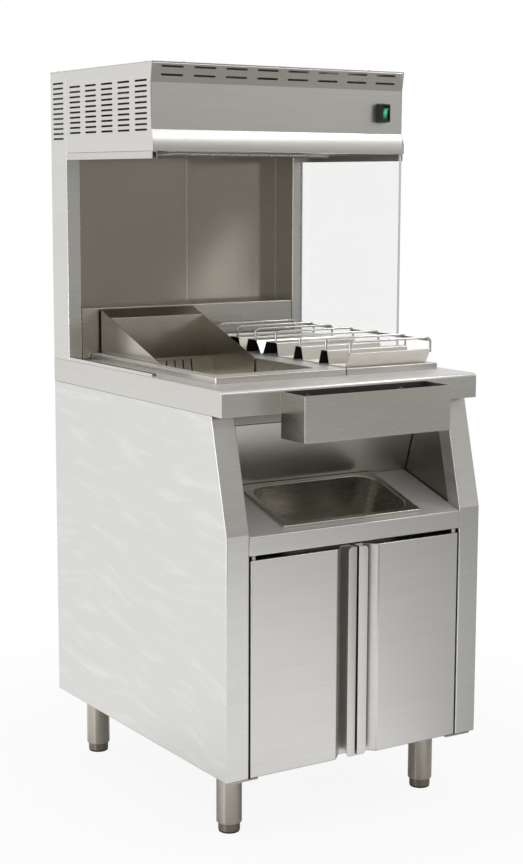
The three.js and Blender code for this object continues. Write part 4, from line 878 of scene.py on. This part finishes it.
# Camera at the photograph's viewpoint
view = {"place": (-1.8762886, -2.913306, 1.2576087), "yaw": 0.56856378, "pitch": 0.14819127, "roll": 0.00371214,
    "lens": 70.064}
cameraData = bpy.data.cameras.new("photoCamera")
cameraData.lens = view["lens"]
cameraData.sensor_width = 36.0
cameraData.clip_start = 0.05
camera = bpy.data.objects.new("photoCamera", cameraData)
scene.collection.objects.link(camera)
camera.matrix_world = (Matrix.Translation(view["place"]) @ Matrix.Rotation(-view["yaw"], 4, "Z")
    @ Matrix.Rotation(pi / 2 - view["pitch"], 4, "X") @ Matrix.Rotation(view["roll"], 4, "Z"))
scene.camera = camera
scene.view_settings.view_transform = "Standard"


def flatSheet(name, corners, material, faces):
    mesh = bpy.data.meshes.new(name)
    mesh.from_pydata(corners, [], faces)
    mesh.materials.append(material)
    sheet = bpy.data.objects.new(name, mesh)
    scene.collection.objects.link(sheet)
    return sheet


def glowing(tree, color, strength):
    return addNode(tree, "ShaderNodeEmission", Color=color, Strength=strength).outputs[0]


def mixShader(tree, share, first, second):
    return addNode(tree, "ShaderNodeMixShader", i0=share, i1=first, i2=second).outputs[0]


# One for the kinds of ray that are named, and none for the others
def seenBy(tree, *rays):
    path = tree.nodes.new("ShaderNodeLightPath").outputs
    seen = path[rays[0]]
    for ray in rays[1:]:
        seen = mathNode(tree, "MAXIMUM", seen, path[ray])
    return seen


# Levels that polished metal sees on the floor: dim towards the right, where the wall is grey
floor = {"half": 6, "fade": (0.5, 1.4), "least": 0.9, "near": (0.35, 0.65), "dimTowards": -0.35,
    "turn": (0.42, 0.84), "dim": 0.46, "bright": 1.08}


# Floor: pale paper that fades to the white backdrop and keeps a soft shadow near the feet
def paleFloor():
    material, tree, shader, place = newMaterial("palePaper")
    mottle = noise(tree, place["Object"], 3.0)
    feed(tree, shader, {"Base Color": blendColor(tree, mottle, (0.8, 0.8, 0.795, 1), (0.84, 0.84, 0.835, 1)),
        "Roughness": 0.9})
    away = addNode(tree, "ShaderNodeVectorMath", {"operation": "LENGTH"}, i0=place["Object"]).outputs["Value"]
    fade = ramp(tree, away, *floor["fade"], floor["least"], 1.0)
    x, y, _ = axes(tree, place["Object"])
    turned = mathNode(tree, "SUBTRACT", mathNode(tree, "ARCTAN2", y, x), floor["dimTowards"])
    shown = ramp(tree, mathNode(tree, "ABSOLUTE", turned), *floor["turn"], floor["dim"], floor["bright"])
    seen = mathNode(tree, "MULTIPLY", seenBy(tree, "Is Camera Ray", "Is Transmission Ray"), fade)
    mirrored = mathNode(tree, "MULTIPLY", seenBy(tree, "Is Glossy Ray"), ramp(tree, away, *floor["near"]))
    paper = mixShader(tree, seen, shader.outputs[0], glowing(tree, white, 1.0))
    feed(tree, tree.nodes["Material Output"],
        {"Surface": mixShader(tree, mirrored, paper, glowing(tree, white, shown))})
    return material


flatSheet("paper_floor", [(x * floor["half"], y * floor["half"], 0) for x, y in ((-1, -1), (1, -1), (1, 1), (-1, 1))],
    paleFloor(), [(0, 1, 2, 3)])

# The dim side of the studio: a wall curved round the station's front and right, which only polished metal shows
wall = {"radius": 3.0, "from": -150, "to": 5, "foot": 0.02, "top": 2.8, "dark": 0.42, "light": 0.55, "steps": 24,
    "across": (1.0, 1.8), "low": (1.05, 0.9), "high": (0.8, 1.2), "rise": (0.9, 1.7)}


def greyWall():
    material, tree, _, place = newMaterial("greyWall")
    x, _, height = axes(tree, place["Object"])
    low, high = (ramp(tree, x, *wall["across"], *wall[n], "LINEAR") for n in ("low", "high"))
    side = mixNumber(tree, ramp(tree, height, *wall["rise"]), low, high)
    level = mathNode(tree, "MULTIPLY", ramp(tree, height, 0.0, wall["top"], wall["dark"], wall["light"]), side)
    bounced = mathNode(tree, "GREATER_THAN", seenBy(tree, "Glossy Depth"), 0.5)
    clear = tree.nodes.new("ShaderNodeBsdfTransparent").outputs[0]
    feed(tree, tree.nodes["Material Output"],
        {"Surface": mixShader(tree, bounced, clear, glowing(tree, (1.0, 0.985, 0.95, 1), level))})
    return material


turns = [radians(wall["from"] + (wall["to"] - wall["from"]) * i / wall["steps"]) for i in range(wall["steps"] + 1)]
wallPoints = [(wall["radius"] * cos(turn), wall["radius"] * sin(turn), wall[end])
    for turn in turns for end in ("foot", "top")]
wallSheet = flatSheet("grey_wall", wallPoints, greyWall(),
    [(2 * i, 2 * i + 2, 2 * i + 3, 2 * i + 1) for i in range(wall["steps"])])

# A white card in front to the right, which polished metal shows in the rear panel's low right corner
card = {"y": -1.6, "shape": [(1.14, 0.7), (1.6, 0.7), (1.6, 0.83), (1.43, 0.85), (1.42, 1.15), (1.18, 0.85)],
    "rise": (0.78, 0.88), "dim": 0.8, "bright": 1.3}


def whiteCard():
    material, tree, _, place = newMaterial("whiteCard")
    level = ramp(tree, axes(tree, place["Object"])[2], *card["rise"], card["dim"], card["bright"], "LINEAR")
    feed(tree, tree.nodes["Material Output"], {"Surface": glowing(tree, white, level)})
    return material


cardSheet = flatSheet("white_card", [(x, card["y"], z) for x, z in card["shape"]], whiteCard(),
    [tuple(range(len(card["shape"])))])
for sheet in (wallSheet, cardSheet):
    sheet.visible_camera = sheet.visible_shadow = sheet.visible_diffuse = False


# Studio: a white backdrop all round for camera, metal and glass, and a plain level of light
def makeStudio():
    world = bpy.data.worlds.new("studio")
    scene.world = world
    world.use_nodes = True
    tree = world.node_tree
    tree.nodes.clear()
    around = addNode(tree, "ShaderNodeBackground", Color=(1.0, 0.99, 0.975, 1), Strength=0.62).outputs[0]
    backdrop = addNode(tree, "ShaderNodeBackground", Color=white, Strength=1.0).outputs[0]
    seen = seenBy(tree, "Is Camera Ray", "Is Transmission Ray", "Is Glossy Ray")
    addNode(tree, "ShaderNodeOutputWorld", Surface=mixShader(tree, seen, around, backdrop))


softBoxes = {
    "key": {"place": (1.9, -3.8, 3.9), "target": (0, 0, 0.9), "size": (3.2, 1.6), "power": 28},
    "left": {"place": (-4.0, 0.6, 2.2), "target": (0, 0, 0.8), "size": (2.4, 3.0), "power": 40},
    "leftStrip": {"place": (-3.2, -0.95, 0.75), "target": (0, 0, 0.3), "size": (0.45, 1.3), "power": 15},
    "rightWindow": {"place": (1.98, -1.0, 2.98), "target": (0.1, 0.388, 1.1), "size": (0.4, 0.4), "power": 9},
}
makeStudio()
for name, box in softBoxes.items():
    data = bpy.data.lights.new(name, "AREA")
    data.shape = "RECTANGLE"
    data.size, data.size_y = box["size"]
    data.energy = box["power"]
    source = bpy.data.objects.new(name, data)
    source.location = box["place"]
    source.rotation_euler = (Vector(box["target"]) - Vector(box["place"])).to_track_quat("-Z", "Y").to_euler()
    scene.collection.objects.link(source)
print("camera, floor and lights set")
